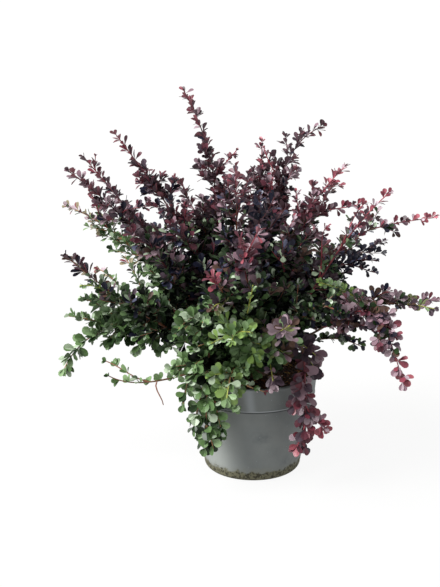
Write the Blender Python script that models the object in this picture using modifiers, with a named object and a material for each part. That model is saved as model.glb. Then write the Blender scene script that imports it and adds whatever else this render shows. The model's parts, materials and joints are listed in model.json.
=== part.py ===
"""A Japanese barberry growing in a grey nursery pot.

Units are metres and +Z is up. The origin is the centre of the pot's flat underside, and -Y is the front.
The pot stands on the ground, potting soil fills it, and a short woody stump sits on the soil. Canes leave the
stump. The long ones start as bare boughs, and each bough hands over to a mass: the cane's own leafy stem with its
side twigs and leaves. The short ones are masses from the stump on.
"""

import math
import random
from typing import NamedTuple

import bmesh
import bpy
from mathutils import Matrix, Vector, kdtree
from mathutils.bvhtree import BVHTree

# The gap that separate pieces keep where they meet, and the angle past which an edge is shaded sharp.
GAP = 0.0003
SHARP_ANGLE = math.radians(35.0)

# The pot: a tapered shell with a wider collar under its rolled rim and a rounded heel.
POT_HEIGHT = 0.160
POT_RIM_RADIUS = 0.0995
POT_LIP = 0.0026
POT_LIP_DEPTH = 0.004
POT_COLLAR_BOTTOM = 0.121
POT_COLLAR_RADIUS = 0.0960
POT_STEP = 0.0025
POT_BODY_TOP_RADIUS = 0.0935
POT_HEEL_RADIUS = 0.0755
POT_HEEL_HEIGHT = 0.007
POT_FOOT_RADIUS = 0.0695
POT_WALL = 0.0018
POT_SIDES = 32
DRAIN_HOLES = 6
DRAIN_RADIUS = 0.0055
DRAIN_RING = 0.054
DRAIN_SIDES = 8

# The soil: it follows the pot's inside and rises to a low mound round the stump.
SOIL_EDGE = 0.146
SOIL_TOP = 0.151
SOIL_MOUND_STEPS = 3

# The stump, from its flat cut on the soil to its knobbly top.
STUMP_FLARE_RADIUS = 0.027
STUMP_NECK_RADIUS = 0.019
STUMP_NECK_HEIGHT = 0.008
STUMP_HEAD_RADIUS = 0.0205
STUMP_HEAD_HEIGHT = 0.016
STUMP_TOP = 0.036
STUMP_SIDES = 16
STUMP_BASE = SOIL_TOP + GAP
CANE_CENTRE = Vector((0.0, 0.0, STUMP_BASE + STUMP_HEAD_HEIGHT))

# The canes: radius at the stump and at the tip, how far their launches are pushed apart, and how low they may be.
CANE_RADIUS = 0.0024
CANE_TIP_RADIUS = 0.0008
LAUNCH_APART = math.radians(21.0)
LAUNCH_LOWEST = math.radians(8.0)
LAUNCH_PUSH = 0.25
LAUNCH_ROUNDS = 60
BOUGH_STEPS = 4
STEM_STEPS = 6
BEZIER_STEPS = 60

# The core of a dense mass: the stretch of the stem it surrounds, and its share of the room that is there.
CORE_FROM = 0.10
CORE_TO = 0.58
CORE_STEPS = 5
CORE_SHARE = 0.80
CORE_END_RADIUS = 0.0030
CORE_SWELL = 0.5
CORE_SHRINKS = (1.0, 0.85, 0.7, 0.55)

# The nodes along a stem, where a leaf or a side twig leaves it, and how far chance moves and turns them.
NODE_STEP = 0.0245
NODE_SPREAD = 0.1
NODES_AT_LEAST = 8
GOLDEN_ANGLE = math.radians(137.5)
TURN_SPREAD = 0.2

# Twigs: every how many nodes there is one, its shape, and how much shorter it gets towards the stem's tip.
TWIG_EVERY = 3
TWIG_TAPER = 0.85
TWIG_SPREAD = (0.75, 1.1)
TWIG_MIN_LENGTH = 0.016
TWIG_RADIUS = 0.0010
TWIG_TIP_RADIUS = 0.0006
TWIG_LEAN = math.radians(52.0)
TWIG_LIFT = 0.35
TWIG_TRIES = 3

# Leaves: their lean from the stem and roll round their own rib, and their sizes.
LEAF_LEAN = math.radians(43.0)
LEAF_LEAN_SPREAD = (0.75, 1.2)
LEAF_ROLL = math.radians(30.0)
LEAF_FACE_ALONG = 0.8
LEAF_FACE_UP = 0.6
LEAF_LENGTH = 0.048
LEAF_TIP_LENGTH = 0.024
LEAF_DROOP_TIP_LENGTH = 0.032
TIP_LEAF_REACH = 0.016
LEAF_WIDTH_SHARE = 0.60
LEAF_THICKNESS_SHARE = 0.055
LEAF_WIDEST = 0.24
LEAF_SUNK_SHARE = 0.20
LEAF_TRIES = 5
LEAF_SHRINKS = (1.0, 0.8, 0.62)
END_INSET = 0.0015

# The spaces that the masses keep to: how clear of a border they stay, and how finely a stem is marked.
SPACE_MARGIN = 0.0006
SPACE_STEP = 0.006
SPACE_NEIGHBOURS = 48
SEED = 1871


class Shoot(NamedTuple):
    """One cane. Angles are in degrees and lengths in metres.

    azimuth and reach place the leafy tip round the pot's axis (0 is the right, 90 the back, 270 the front), and
    height is its height above the ground. The cane leaves the stump at launch degrees above level and arrives at
    finish. arch is how far it holds both directions, bare the share of it that has no foliage, and girth how far
    the twigs stand out where the foliage starts. core is the greatest radius of the mass's core, or 0 for none.
    The bare share is a bough of its own, or the foot of the mass's stem where bough is False.
    """

    name: str
    azimuth: float
    reach: float
    height: float
    launch: float
    finish: float
    arch: float
    bare: float
    girth: float
    core: float = 0.0
    bough: bool = True


SHOOTS = (
    Shoot("top_spire", 159, 0.115, 0.583, 60, 58, 0.44, 0.24, 0.050),
    Shoot("centre_spire", 78, 0.062, 0.504, 86, 84, 0.36, 0.10, 0.050, 0.026, False),
    Shoot("right_spire", 39, 0.142, 0.519, 76, 6, 0.36, 0.26, 0.050),
    Shoot("right_upper", 356, 0.135, 0.477, 68, 46, 0.48, 0.16, 0.050, 0.022, False),
    Shoot("right_long", 337, 0.207, 0.452, 55, 44, 0.36, 0.28, 0.052),
    Shoot("right_back", 23, 0.228, 0.339, 62, 20, 0.38, 0.18, 0.052, 0.022, False),
    Shoot("right_far_high", 25, 0.332, 0.364, 60, 0, 0.58, 0.26, 0.054),
    Shoot("right_far_low", 360, 0.281, 0.267, 56, 6, 0.54, 0.25, 0.054),
    Shoot("right_droop", 319, 0.272, 0.196, 52, -70, 0.70, 0.36, 0.046),
    Shoot("right_front_pendant", 303, 0.136, 0.070, 52, -88, 0.90, 0.46, 0.032),
    Shoot("left_front_pendant", 238, 0.136, 0.068, 52, -88, 0.90, 0.46, 0.034),
    Shoot("left_droop", 176, 0.298, 0.144, 54, -66, 0.43, 0.28, 0.052),
    Shoot("left_low", 205, 0.240, 0.184, 26, 38, 0.34, 0.32, 0.034),
    Shoot("left_mid", 200, 0.291, 0.365, 34, 44, 0.42, 0.25, 0.054),
    Shoot("left_high_green", 160, 0.316, 0.391, 44, 15, 0.38, 0.26, 0.054),
    Shoot("left_purple_low", 199, 0.281, 0.485, 56, 38, 0.36, 0.28, 0.052),
    Shoot("left_purple_high", 159, 0.284, 0.471, 64, 46, 0.36, 0.20, 0.050, 0.020, False),
    Shoot("left_spire", 172, 0.211, 0.519, 72, 52, 0.36, 0.26, 0.052),
    Shoot("back_left_high", 126, 0.215, 0.425, 62, 40, 0.38, 0.26, 0.055),
    Shoot("top_fork", 256, 0.122, 0.499, 72, 86, 0.42, 0.12, 0.052, 0.028, False),
    Shoot("back_right_high", 52, 0.215, 0.410, 62, 38, 0.38, 0.26, 0.055),
    Shoot("back_left_far", 140, 0.285, 0.320, 44, 18, 0.40, 0.25, 0.055),
    Shoot("back_far", 107, 0.290, 0.315, 46, 12, 0.40, 0.25, 0.055),
    Shoot("back_right_far", 66, 0.285, 0.305, 46, 10, 0.40, 0.25, 0.055),
    Shoot("centre_red", 262, 0.172, 0.409, 68, 72, 0.36, 0.08, 0.058, 0.032, False),
    Shoot("front_red", 255, 0.245, 0.373, 54, 34, 0.38, 0.08, 0.060, 0.032, False),
    Shoot("front_green", 261, 0.232, 0.278, 44, -6, 0.42, 0.10, 0.054, 0.030, False),
    Shoot("front_left_green", 240, 0.230, 0.275, 40, -28, 0.44, 0.10, 0.056, 0.030, False),
    Shoot("front_right_purple", 280, 0.243, 0.305, 48, 26, 0.38, 0.10, 0.056, 0.030, False),
    Shoot("right_front_dark", 303, 0.216, 0.300, 40, -14, 0.42, 0.10, 0.056, 0.030, False),
    Shoot("front_low_left", 226, 0.152, 0.135, 36, -80, 0.60, 0.16, 0.046, 0.014, False),
    Shoot("front_low_middle", 254, 0.152, 0.158, 38, -66, 0.52, 0.16, 0.046, 0.014, False),
    Shoot("front_low_right", 280, 0.148, 0.180, 38, -50, 0.48, 0.16, 0.046, 0.014, False),
    Shoot("right_low", 4, 0.172, 0.186, 28, -30, 0.44, 0.16, 0.042, 0.020, False),
    Shoot("left_inner", 155, 0.100, 0.395, 72, 60, 0.36, 0.10, 0.060, 0.032, False),
    Shoot("back_low", 84, 0.225, 0.205, 34, -34, 0.44, 0.14, 0.052, 0.026, False),
    Shoot("back_right_low", 38, 0.225, 0.230, 36, -22, 0.44, 0.14, 0.052, 0.026, False),
    Shoot("back_left_low", 134, 0.230, 0.215, 34, -30, 0.44, 0.14, 0.052, 0.026, False),
)


def clear_scene():
    """Removes every object of the scene that the script starts in."""
    for obj in list(bpy.data.objects):
        bpy.data.objects.remove(obj, do_unlink=True)


def new_collection(name):
    """A collection linked to the scene."""
    made = bpy.data.collections.new(name)
    bpy.context.scene.collection.children.link(made)
    return made


def make_material(name, colour, roughness):
    """A plain Principled material."""
    material = bpy.data.materials.new(name)
    material.use_nodes = True
    shader = material.node_tree.nodes["Principled BSDF"]
    shader.inputs["Base Color"].default_value = (*colour, 1.0)
    shader.inputs["Roughness"].default_value = roughness
    shader.inputs["Metallic"].default_value = 0.0
    return material


def mesh_object(name, mesh, collection, material):
    """An object of this mesh, with one material, linked to the collection."""
    obj = bpy.data.objects.new(name, mesh)
    if material is not None and not mesh.materials:
        mesh.materials.append(material)
    collection.objects.link(obj)
    return obj


def evaluated_mesh(obj):
    """The object's mesh with its modifiers or its bevel worked out, closed and facing outwards."""
    graph = bpy.context.evaluated_depsgraph_get()
    mesh = bpy.data.meshes.new_from_object(obj.evaluated_get(graph))
    tidy = bmesh.new()
    tidy.from_mesh(mesh)
    bmesh.ops.remove_doubles(tidy, verts=tidy.verts, dist=0.00001)
    bmesh.ops.recalc_face_normals(tidy, faces=tidy.faces)
    tidy.to_mesh(mesh)
    tidy.free()
    return mesh


def turned(name, profile, sides, collection, material):
    """A solid of revolution about Z: the profile's (radius, height) pairs run down its outer side."""
    outline = bmesh.new()
    points = [outline.verts.new((radius, 0.0, height)) for radius, height in profile]
    for first, second in zip(points, points[1:]):
        if first.co.x > 0.0 or second.co.x > 0.0:
            outline.edges.new((first, second))
    mesh = bpy.data.meshes.new(name)
    outline.to_mesh(mesh)
    outline.free()
    obj = mesh_object(name, mesh, collection, None)
    screw = obj.modifiers.new("turn", "SCREW")
    screw.steps = sides
    screw.render_steps = sides
    screw.use_merge_vertices = True
    screw.merge_threshold = 0.00005
    obj.data = evaluated_mesh(obj)
    obj.modifiers.clear()
    obj.data.shade_smooth()
    obj.data.set_sharp_from_angle(angle=SHARP_ANGLE)
    obj.data.materials.append(material)
    bpy.data.meshes.remove(mesh)
    return obj


def pot_outside():
    """The pot's outer profile from its rim down to its foot."""
    heel = [
        (
            POT_FOOT_RADIUS + (POT_HEEL_RADIUS - POT_FOOT_RADIUS) * math.cos(turn),
            POT_HEEL_HEIGHT * (1.0 - math.sin(turn)),
        )
        for turn in (0.0, math.radians(45.0), math.radians(90.0))
    ]
    return [
        (POT_RIM_RADIUS, POT_HEIGHT),
        (POT_RIM_RADIUS + POT_LIP, POT_HEIGHT - 0.3 * POT_LIP_DEPTH),
        (POT_RIM_RADIUS + POT_LIP, POT_HEIGHT - POT_LIP_DEPTH),
        (POT_RIM_RADIUS - 0.0004, POT_HEIGHT - 1.5 * POT_LIP_DEPTH),
        (POT_COLLAR_RADIUS, POT_COLLAR_BOTTOM),
        (POT_BODY_TOP_RADIUS, POT_COLLAR_BOTTOM - 0.4 * POT_STEP),
        *heel,
    ]


def pot_inside(clearance=0.0):
    """The pot's inner profile from its rim down to its floor, moved inwards by clearance."""
    inset = POT_WALL + clearance
    return [
        (POT_RIM_RADIUS - inset, POT_HEIGHT),
        (POT_COLLAR_RADIUS - inset, POT_COLLAR_BOTTOM + POT_STEP),
        (POT_BODY_TOP_RADIUS - inset, POT_COLLAR_BOTTOM - POT_STEP),
        (POT_HEEL_RADIUS - inset, POT_HEEL_HEIGHT),
        (POT_FOOT_RADIUS - inset, inset),
    ]


def make_pot(collection, cutters, material):
    """The pot: one turned shell, with drain holes cut through its floor."""
    profile = [
        *pot_outside(),
        (0.0, 0.0),
        (0.0, POT_WALL),
        *reversed(pot_inside()),
        (POT_RIM_RADIUS, POT_HEIGHT),
    ]
    pot = turned("pot", profile, POT_SIDES, collection, material)
    for number in range(DRAIN_HOLES):
        turn = 2.0 * math.pi * (number + 0.5) / DRAIN_HOLES
        drill = bmesh.new()
        bmesh.ops.create_cone(
            drill,
            cap_ends=True,
            segments=DRAIN_SIDES,
            radius1=DRAIN_RADIUS,
            radius2=DRAIN_RADIUS,
            depth=6.0 * POT_WALL,
        )
        mesh = bpy.data.meshes.new("drain_drill")
        drill.to_mesh(mesh)
        drill.free()
        cutter = mesh_object("drain_drill", mesh, cutters, None)
        cutter.location = (DRAIN_RING * math.cos(turn), DRAIN_RING * math.sin(turn), 0.5 * POT_WALL)
        cutter.hide_render = True
        cutter.display_type = "WIRE"
    drain = pot.modifiers.new("drain_holes", "BOOLEAN")
    drain.operation = "DIFFERENCE"
    drain.operand_type = "COLLECTION"
    drain.collection = cutters
    return pot


def soil_height(share):
    """The height of the soil's surface at this share of the way from the flat middle to the pot's wall."""
    return SOIL_EDGE + (SOIL_TOP - SOIL_EDGE) * (0.5 + 0.5 * math.cos(math.pi * share))


def make_soil(collection, material):
    """The soil: a plug that follows the pot's inside, flat under the stump and falling away towards the wall."""
    inside = pot_inside(GAP)
    (rim_radius, rim_height), (collar_radius, collar_height) = inside[0], inside[1]
    share = (SOIL_EDGE - collar_height) / (rim_height - collar_height)
    edge_radius = collar_radius + share * (rim_radius - collar_radius)
    flat = STUMP_FLARE_RADIUS + 0.002
    shares = [step / SOIL_MOUND_STEPS for step in range(SOIL_MOUND_STEPS + 1)]
    profile = [
        (0.0, SOIL_TOP),
        *[(flat + (edge_radius - flat) * part, soil_height(part)) for part in shares],
        *inside[1:],
        (0.0, POT_WALL + GAP),
    ]
    return turned("potting_soil", profile, POT_SIDES, collection, material)


def make_stump(collection, material):
    """The short main stem: a flat cut on the soil, a root flare, a neck and a knobbly head."""
    head_rise = STUMP_TOP - STUMP_HEAD_HEIGHT
    head = [
        (STUMP_HEAD_RADIUS * math.cos(turn), STUMP_BASE + STUMP_HEAD_HEIGHT + head_rise * math.sin(turn))
        for turn in (math.radians(60.0), math.radians(30.0), 0.0)
    ]
    profile = [
        (0.0, STUMP_BASE + STUMP_TOP),
        *head,
        (STUMP_NECK_RADIUS, STUMP_BASE + STUMP_NECK_HEIGHT),
        (STUMP_FLARE_RADIUS, STUMP_BASE),
        (0.0, STUMP_BASE),
    ]
    return turned("stump", profile, STUMP_SIDES, collection, material)


def direction(azimuth, angle):
    """The unit vector at this azimuth and this angle above level, both in degrees."""
    turn = math.radians(azimuth)
    rise = math.radians(angle)
    return Vector((math.cos(turn) * math.cos(rise), math.sin(turn) * math.cos(rise), math.sin(rise)))


def spread_launches(shoots):
    """The directions in which the canes leave the stump, pushed apart until each has room of its own."""
    launches = [direction(shoot.azimuth, shoot.launch) for shoot in shoots]
    for _ in range(LAUNCH_ROUNDS):
        for first in range(len(launches)):
            for second in range(first + 1, len(launches)):
                between = launches[first].angle(launches[second])
                if between < LAUNCH_APART:
                    strength = LAUNCH_PUSH * (LAUNCH_APART - between) / max(between, 0.01)
                    push = (launches[first] - launches[second]) * strength
                    launches[first] = launches[first] + push
                    launches[second] = launches[second] - push
        for number, launch in enumerate(launches):
            launch.z = max(launch.z, math.sin(LAUNCH_LOWEST))
            launches[number] = launch.normalized()
    return launches


def around(axis, turn):
    """A unit vector square to the axis, at this turn round it."""
    aside = axis.cross(Vector((0.0, 0.0, 1.0)))
    if aside.length < 0.05:
        aside = axis.cross(Vector((0.0, 1.0, 0.0)))
    aside.normalize()
    return aside * math.cos(turn) + axis.cross(aside) * math.sin(turn)


def cane_start(launch, stump, stump_tree):
    """Where a cane's end face stands GAP clear of the stump, its whole rim counted."""
    rim = [around(launch, math.radians(30.0 * corner)) * CANE_RADIUS for corner in range(12)]
    hits = [stump_tree.ray_cast(CANE_CENTRE + offset, launch)[3] for offset in (Vector(), *rim)]
    reaches = [hit for hit in hits if hit is not None]
    for vert in stump.data.vertices:
        reach = (vert.co - CANE_CENTRE).dot(launch)
        aside = (vert.co - CANE_CENTRE) - launch * reach
        if aside.length < CANE_RADIUS:
            reaches.append(reach)
    return CANE_CENTRE + launch * (max(reaches) + GAP)


def cane_path(shoot, launch, start):
    """Many points along a cane: a Bezier curve from the stump to the tip, with its direction given at both ends."""
    turn = math.radians(shoot.azimuth)
    tip = Vector((shoot.reach * math.cos(turn), shoot.reach * math.sin(turn), shoot.height))
    hold = shoot.arch * (tip - start).length
    leaving = start + launch * hold
    arriving = tip - direction(shoot.azimuth, shoot.finish) * hold
    path = []
    for step in range(BEZIER_STEPS + 1):
        t = step / BEZIER_STEPS
        u = 1.0 - t
        path.append(u**3 * start + 3.0 * u * u * t * leaving + 3.0 * u * t * t * arriving + t**3 * tip)
    return path


def distances(path):
    """How far along the path each of its points lies."""
    along = [0.0]
    for first, second in zip(path, path[1:]):
        along.append(along[-1] + (second - first).length)
    return along


def point_at(path, along, distance):
    """(point, direction) at this distance along the path."""
    for number in range(1, len(path)):
        if along[number] >= distance or number == len(path) - 1:
            span = path[number] - path[number - 1]
            share = (distance - along[number - 1]) / max(span.length, 1e-9)
            return path[number - 1] + span * share, span.normalized()
    return path[0], (path[1] - path[0]).normalized()


def stretch(path, start, end, steps):
    """Evenly spaced points of the path between two distances along it."""
    along = distances(path)
    return [point_at(path, along, start + (end - start) * step / steps)[0] for step in range(steps + 1)]


def cane_radius(share):
    """The cane's radius at this share of its length."""
    return CANE_RADIUS + (CANE_TIP_RADIUS - CANE_RADIUS) * share


def make_section(helpers):
    """The three-cornered cross-section that every leafy stem and twig is swept with."""
    curve = bpy.data.curves.new("twig_section", "CURVE")
    curve.dimensions = "2D"
    corners = curve.splines.new("POLY")
    corners.points.add(2)
    for number, point in enumerate(corners.points):
        turn = 2.0 * math.pi * number / 3.0
        point.co = (math.cos(turn), math.sin(turn), 0.0, 1.0)
    corners.use_cyclic_u = True
    section = bpy.data.objects.new("twig_section", curve)
    helpers.objects.link(section)
    section.hide_render = True
    return section


def limb(name, points, radii, collection, material, section=None):
    """A tapering limb along the points: six-sided, or with the given cross-section, as a closed mesh."""
    curve = bpy.data.curves.new(name, "CURVE")
    curve.dimensions = "3D"
    curve.use_fill_caps = True
    if section is None:
        curve.bevel_depth = 1.0
        curve.bevel_resolution = 1
    else:
        curve.bevel_mode = "OBJECT"
        curve.bevel_object = section
    spline = curve.splines.new("POLY")
    spline.points.add(len(points) - 1)
    for place, point, radius in zip(spline.points, points, radii):
        place.co = (*point, 1.0)
        place.radius = radius
    wire = bpy.data.objects.new(name + "_line", curve)
    collection.objects.link(wire)
    mesh = evaluated_mesh(wire)
    mesh.name = name
    bpy.data.objects.remove(wire, do_unlink=True)
    bpy.data.curves.remove(curve)
    mesh.materials.clear()
    return mesh_object(name, mesh, collection, material)


def make_leaf_mesh(material):
    """One leaf of unit length along +X: eight faces, widest beyond its middle, with its root at the origin."""
    form = bmesh.new()
    bmesh.ops.create_uvsphere(form, u_segments=4, v_segments=2, radius=0.5)
    for vert in form.verts:
        vert.co.x += 0.5 + LEAF_WIDEST * abs(vert.co.y)
        vert.co.y *= LEAF_WIDTH_SHARE
        vert.co.z *= LEAF_THICKNESS_SHARE
    mesh = bpy.data.meshes.new("leaf")
    form.to_mesh(mesh)
    form.free()
    mesh.materials.append(material)
    return mesh


def leaf_matrix(root, along, face, roll, length):
    """The placing of a unit leaf: its rib runs along, and its upper side looks towards face, turned by roll."""
    across = face.cross(along)
    if across.length < 0.05:
        across = around(along, 0.0)
    across = Matrix.Rotation(roll, 3, along) @ across.normalized()
    upward = along.cross(across).normalized()
    turn = Matrix((along, across, upward)).transposed().to_4x4()
    return Matrix.Translation(root) @ turn @ Matrix.Scale(length, 4)


def twig_path(origin, axis, turn, length):
    """Three points of a side twig: it leaves the stem at a lean, then bends towards the light."""
    first = axis * math.cos(TWIG_LEAN) + around(axis, turn) * math.sin(TWIG_LEAN)
    later = (first + Vector((0.0, 0.0, TWIG_LIFT))).normalized()
    elbow = origin + first * (0.5 * length)
    return [origin, elbow, elbow + later * (0.5 * length)]


def tree_of(objects):
    """A search tree of the faces of all these objects."""
    points = []
    faces = []
    for obj in objects:
        first = len(points)
        points.extend(vert.co.copy() for vert in obj.data.vertices)
        faces.extend([first + corner for corner in face.vertices] for face in obj.data.polygons)
    return BVHTree.FromPolygons(points, faces)


class Spaces:
    """Which mass each point of the crown belongs to: the one whose leafy stem passes nearest."""

    def __init__(self, stems):
        marks = []
        for number, stem in enumerate(stems):
            length = distances(stem)[-1]
            steps = max(2, int(length / SPACE_STEP))
            marks.extend((number, point) for point in stretch(stem, 0.0, length, steps))
        self.owners = [number for number, _ in marks]
        self.tree = kdtree.KDTree(len(marks))
        for place, (_, point) in enumerate(marks):
            self.tree.insert(point, place)
        self.tree.balance()

    def holds(self, number, point):
        """True if the point lies in the space of this mass, clear of its borders."""
        _, place, nearest = self.tree.find(point)
        if self.owners[place] != number:
            return False
        for _, place, distance in self.tree.find_range(point, nearest + 2.0 * SPACE_MARGIN):
            if self.owners[place] != number and distance - nearest < SPACE_MARGIN:
                return False
        return True

    def room(self, number, point):
        """How far it is from this point of the mass's own stem to the border with the next mass."""
        found = self.tree.find_n(point, SPACE_NEIGHBOURS)
        foreign = [distance for _, place, distance in found if self.owners[place] != number]
        return 0.5 * min(foreign, default=found[-1][2])


def drop_scraps(mesh):
    """Keeps the mesh's largest closed body, without loose scraps or the walls of a sealed hollow."""
    form = bmesh.new()
    form.from_mesh(mesh)
    unseen = set(form.verts)
    bodies = []
    while unseen:
        body = set()
        edge_of = [unseen.pop()]
        while edge_of:
            vert = edge_of.pop()
            body.add(vert)
            for edge in vert.link_edges:
                other = edge.other_vert(vert)
                if other in unseen:
                    unseen.discard(other)
                    edge_of.append(other)
        bodies.append(body)
    bodies.sort(key=len)
    for scrap in bodies[:-1]:
        bmesh.ops.delete(form, geom=list(scrap), context="VERTS")
    form.to_mesh(mesh)
    form.free()


class Mass:
    """One mass as it grows: its stem, and the core, twigs and leaves that found room in its space."""

    def __init__(self, number, shoot, stem, leaf_mesh, section, spaces, barriers):
        self.number = number
        self.shoot = shoot
        self.stem = stem
        self.leaf_mesh = leaf_mesh
        self.section = section
        self.spaces = spaces
        self.barriers = barriers
        self.material = stem.data.materials[0]
        self.sprays = new_collection(shoot.name + "_sprays")
        self.draw = random.Random(SEED + number)
        self.core_line = []
        self.leaves = []

    def touches(self, points, faces):
        """True if a closed form touches a limb or another mass."""
        own = BVHTree.FromPolygons(points, faces)
        return any(own.overlap(barrier) for barrier in self.barriers)

    def is_free(self, points, faces):
        """True if a closed form keeps to the mass's space and touches nothing."""
        middle = sum(points, Vector()) / len(points)
        if not all(self.spaces.holds(self.number, point) for point in (*points, middle)):
            return False
        return not self.touches(points, faces)

    def add_limb(self, name, points, radii, section, keeps_space):
        """Adds a swept piece and returns True, or leaves it out where it has no room."""
        piece = limb(name, points, radii, self.sprays, self.material, section)
        corners = [vert.co.copy() for vert in piece.data.vertices]
        faces = [tuple(face.vertices) for face in piece.data.polygons]
        free = self.is_free(corners, faces) if keeps_space else not self.touches(corners, faces)
        if not free:
            bpy.data.objects.remove(piece, do_unlink=True)
        return free

    def add_core(self, path, limbs_tree):
        """Adds the core of a dense mass round its stem, as thick as its space allows."""
        length = distances(path)[-1]
        points = stretch(path, CORE_FROM * length, CORE_TO * length, CORE_STEPS)
        room = [
            min(self.spaces.room(self.number, point), limbs_tree.find_nearest(point)[3]) * CORE_SHARE
            for point in points
        ]
        for shrink in CORE_SHRINKS:
            radii = []
            for step, most in enumerate(room):
                swell = math.sin(math.pi * step / CORE_STEPS) ** CORE_SWELL
                radii.append(max(CORE_END_RADIUS, shrink * min(self.shoot.core * swell, most)))
            if self.add_limb("core", points, radii, None, False):
                self.core_line = list(zip(points, radii))
                return

    def surface(self, origin):
        """How far out from the stem the leaves are rooted here: on the core's surface, or 0 with no core."""
        if not self.core_line:
            return 0.0
        point, radius = min(self.core_line, key=lambda entry: (entry[0] - origin).length)
        return radius if (point - origin).length < radius + NODE_STEP else 0.0

    def add_leaf(self, origin, axis, turn, length, neighbours, standoff=0.0):
        """Adds one leaf that leans out from the axis, shorter or turned on where it has no room as it is."""
        lean = LEAF_LEAN * self.draw.uniform(*LEAF_LEAN_SPREAD)
        roll = LEAF_ROLL * self.draw.uniform(-1.0, 1.0)
        faces = [tuple(face.vertices) for face in self.leaf_mesh.polygons]
        for shrink in LEAF_SHRINKS:
            for attempt in range(LEAF_TRIES):
                out = around(axis, turn + 2.0 * math.pi * attempt / LEAF_TRIES)
                along = (axis * math.cos(lean) + out * math.sin(lean)).normalized()
                face = axis * LEAF_FACE_ALONG + Vector((0.0, 0.0, LEAF_FACE_UP))
                root = origin + out * max(0.0, CORE_SHARE * standoff - LEAF_SUNK_SHARE * length)
                placing = leaf_matrix(root, along, face, roll, length * shrink)
                points = [placing @ vert.co for vert in self.leaf_mesh.vertices]
                blade = BVHTree.FromPolygons(points, faces)
                if self.is_free(points, faces) and not any(blade.overlap(other) for other in neighbours):
                    leaf = bpy.data.objects.new("leaf", self.leaf_mesh)
                    leaf.matrix_world = placing
                    self.sprays.objects.link(leaf)
                    self.leaves.append(blade)
                    return

    def add_twig(self, origin, axis, turn, length, leaf_length):
        """Adds a side twig with a leaf at its elbow and two at its end, turned on where it has no room."""
        for attempt in range(TWIG_TRIES):
            heading = turn + 2.0 * math.pi * attempt / TWIG_TRIES
            points = twig_path(origin, axis, heading, length)
            radii = [TWIG_RADIUS, 0.5 * (TWIG_RADIUS + TWIG_TIP_RADIUS), TWIG_TIP_RADIUS]
            if self.add_limb("twig", points, radii, self.section, True):
                end_axis = (points[2] - points[1]).normalized()
                end = points[2] - end_axis * END_INSET
                neighbours = list(self.leaves)
                self.add_leaf(points[1], end_axis, heading + 0.5 * math.pi, leaf_length, neighbours)
                self.add_leaf(end, end_axis, heading, leaf_length, neighbours)
                self.add_leaf(end, end_axis, heading + math.pi, leaf_length, neighbours)
                return

    def grow(self, path):
        """Walks up the stem and adds a leaf at each node, and a side twig at every other one."""
        along = distances(path)
        length = along[-1]
        foot = 0.0 if self.shoot.bough else self.shoot.bare * length
        step = min(NODE_STEP, (length - foot) / NODES_AT_LEAST)
        place = foot + 0.5 * step
        tip_leaf = LEAF_TIP_LENGTH if self.shoot.finish > 0.0 else LEAF_DROOP_TIP_LENGTH
        turn = self.draw.uniform(0.0, 2.0 * math.pi)
        node = 0
        while place < length - 0.3 * step:
            share = place / length
            origin, axis = point_at(path, along, place)
            leaf_length = LEAF_LENGTH + (tip_leaf - LEAF_LENGTH) * share
            reach = self.shoot.girth * (1.0 - TWIG_TAPER * share) * self.draw.uniform(*TWIG_SPREAD)
            twig_length = reach - 0.5 * leaf_length
            if node % TWIG_EVERY == 0 and twig_length > TWIG_MIN_LENGTH:
                self.add_twig(origin, axis, turn + math.pi, twig_length, leaf_length)
            self.add_leaf(origin, axis, turn, leaf_length, list(self.leaves), self.surface(origin))
            turn += GOLDEN_ANGLE + self.draw.uniform(-TURN_SPREAD, TURN_SPREAD)
            place += step * self.draw.uniform(1.0 - NODE_SPREAD, 1.0 + NODE_SPREAD)
            node += 1
        origin, axis = point_at(path, along, length - END_INSET)
        neighbours = list(self.leaves)
        self.add_leaf(origin, axis, turn, LEAF_TIP_LENGTH, neighbours)
        self.add_leaf(origin, axis, turn + math.pi, LEAF_TIP_LENGTH, neighbours)

    def fuse(self):
        """Joins everything that grew to the stem with one union, and removes the loose pieces."""
        union = self.stem.modifiers.new("fuse", "BOOLEAN")
        union.operation = "UNION"
        union.operand_type = "COLLECTION"
        union.collection = self.sprays
        union.solver = "MANIFOLD"
        bpy.context.view_layer.update()
        graph = bpy.context.evaluated_depsgraph_get()
        mesh = bpy.data.meshes.new_from_object(self.stem.evaluated_get(graph))
        mesh.name = self.stem.name
        drop_scraps(mesh)
        self.stem.modifiers.clear()
        self.stem.data = mesh
        for obj in list(self.sprays.objects):
            bpy.data.objects.remove(obj, do_unlink=True)
        bpy.data.collections.remove(self.sprays)


def joint_gap(path, joint, length, radius):
    """How far apart a bough's and a stem's end faces stand, so that they are GAP clear where the cane bends."""
    before = stretch(path, 0.0, joint, BOUGH_STEPS)
    after = stretch(path, joint, length, STEM_STEPS)
    bend = (before[-1] - before[-2]).angle(after[1] - after[0])
    return GAP + 2.0 * radius * math.tan(0.5 * bend)


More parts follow.
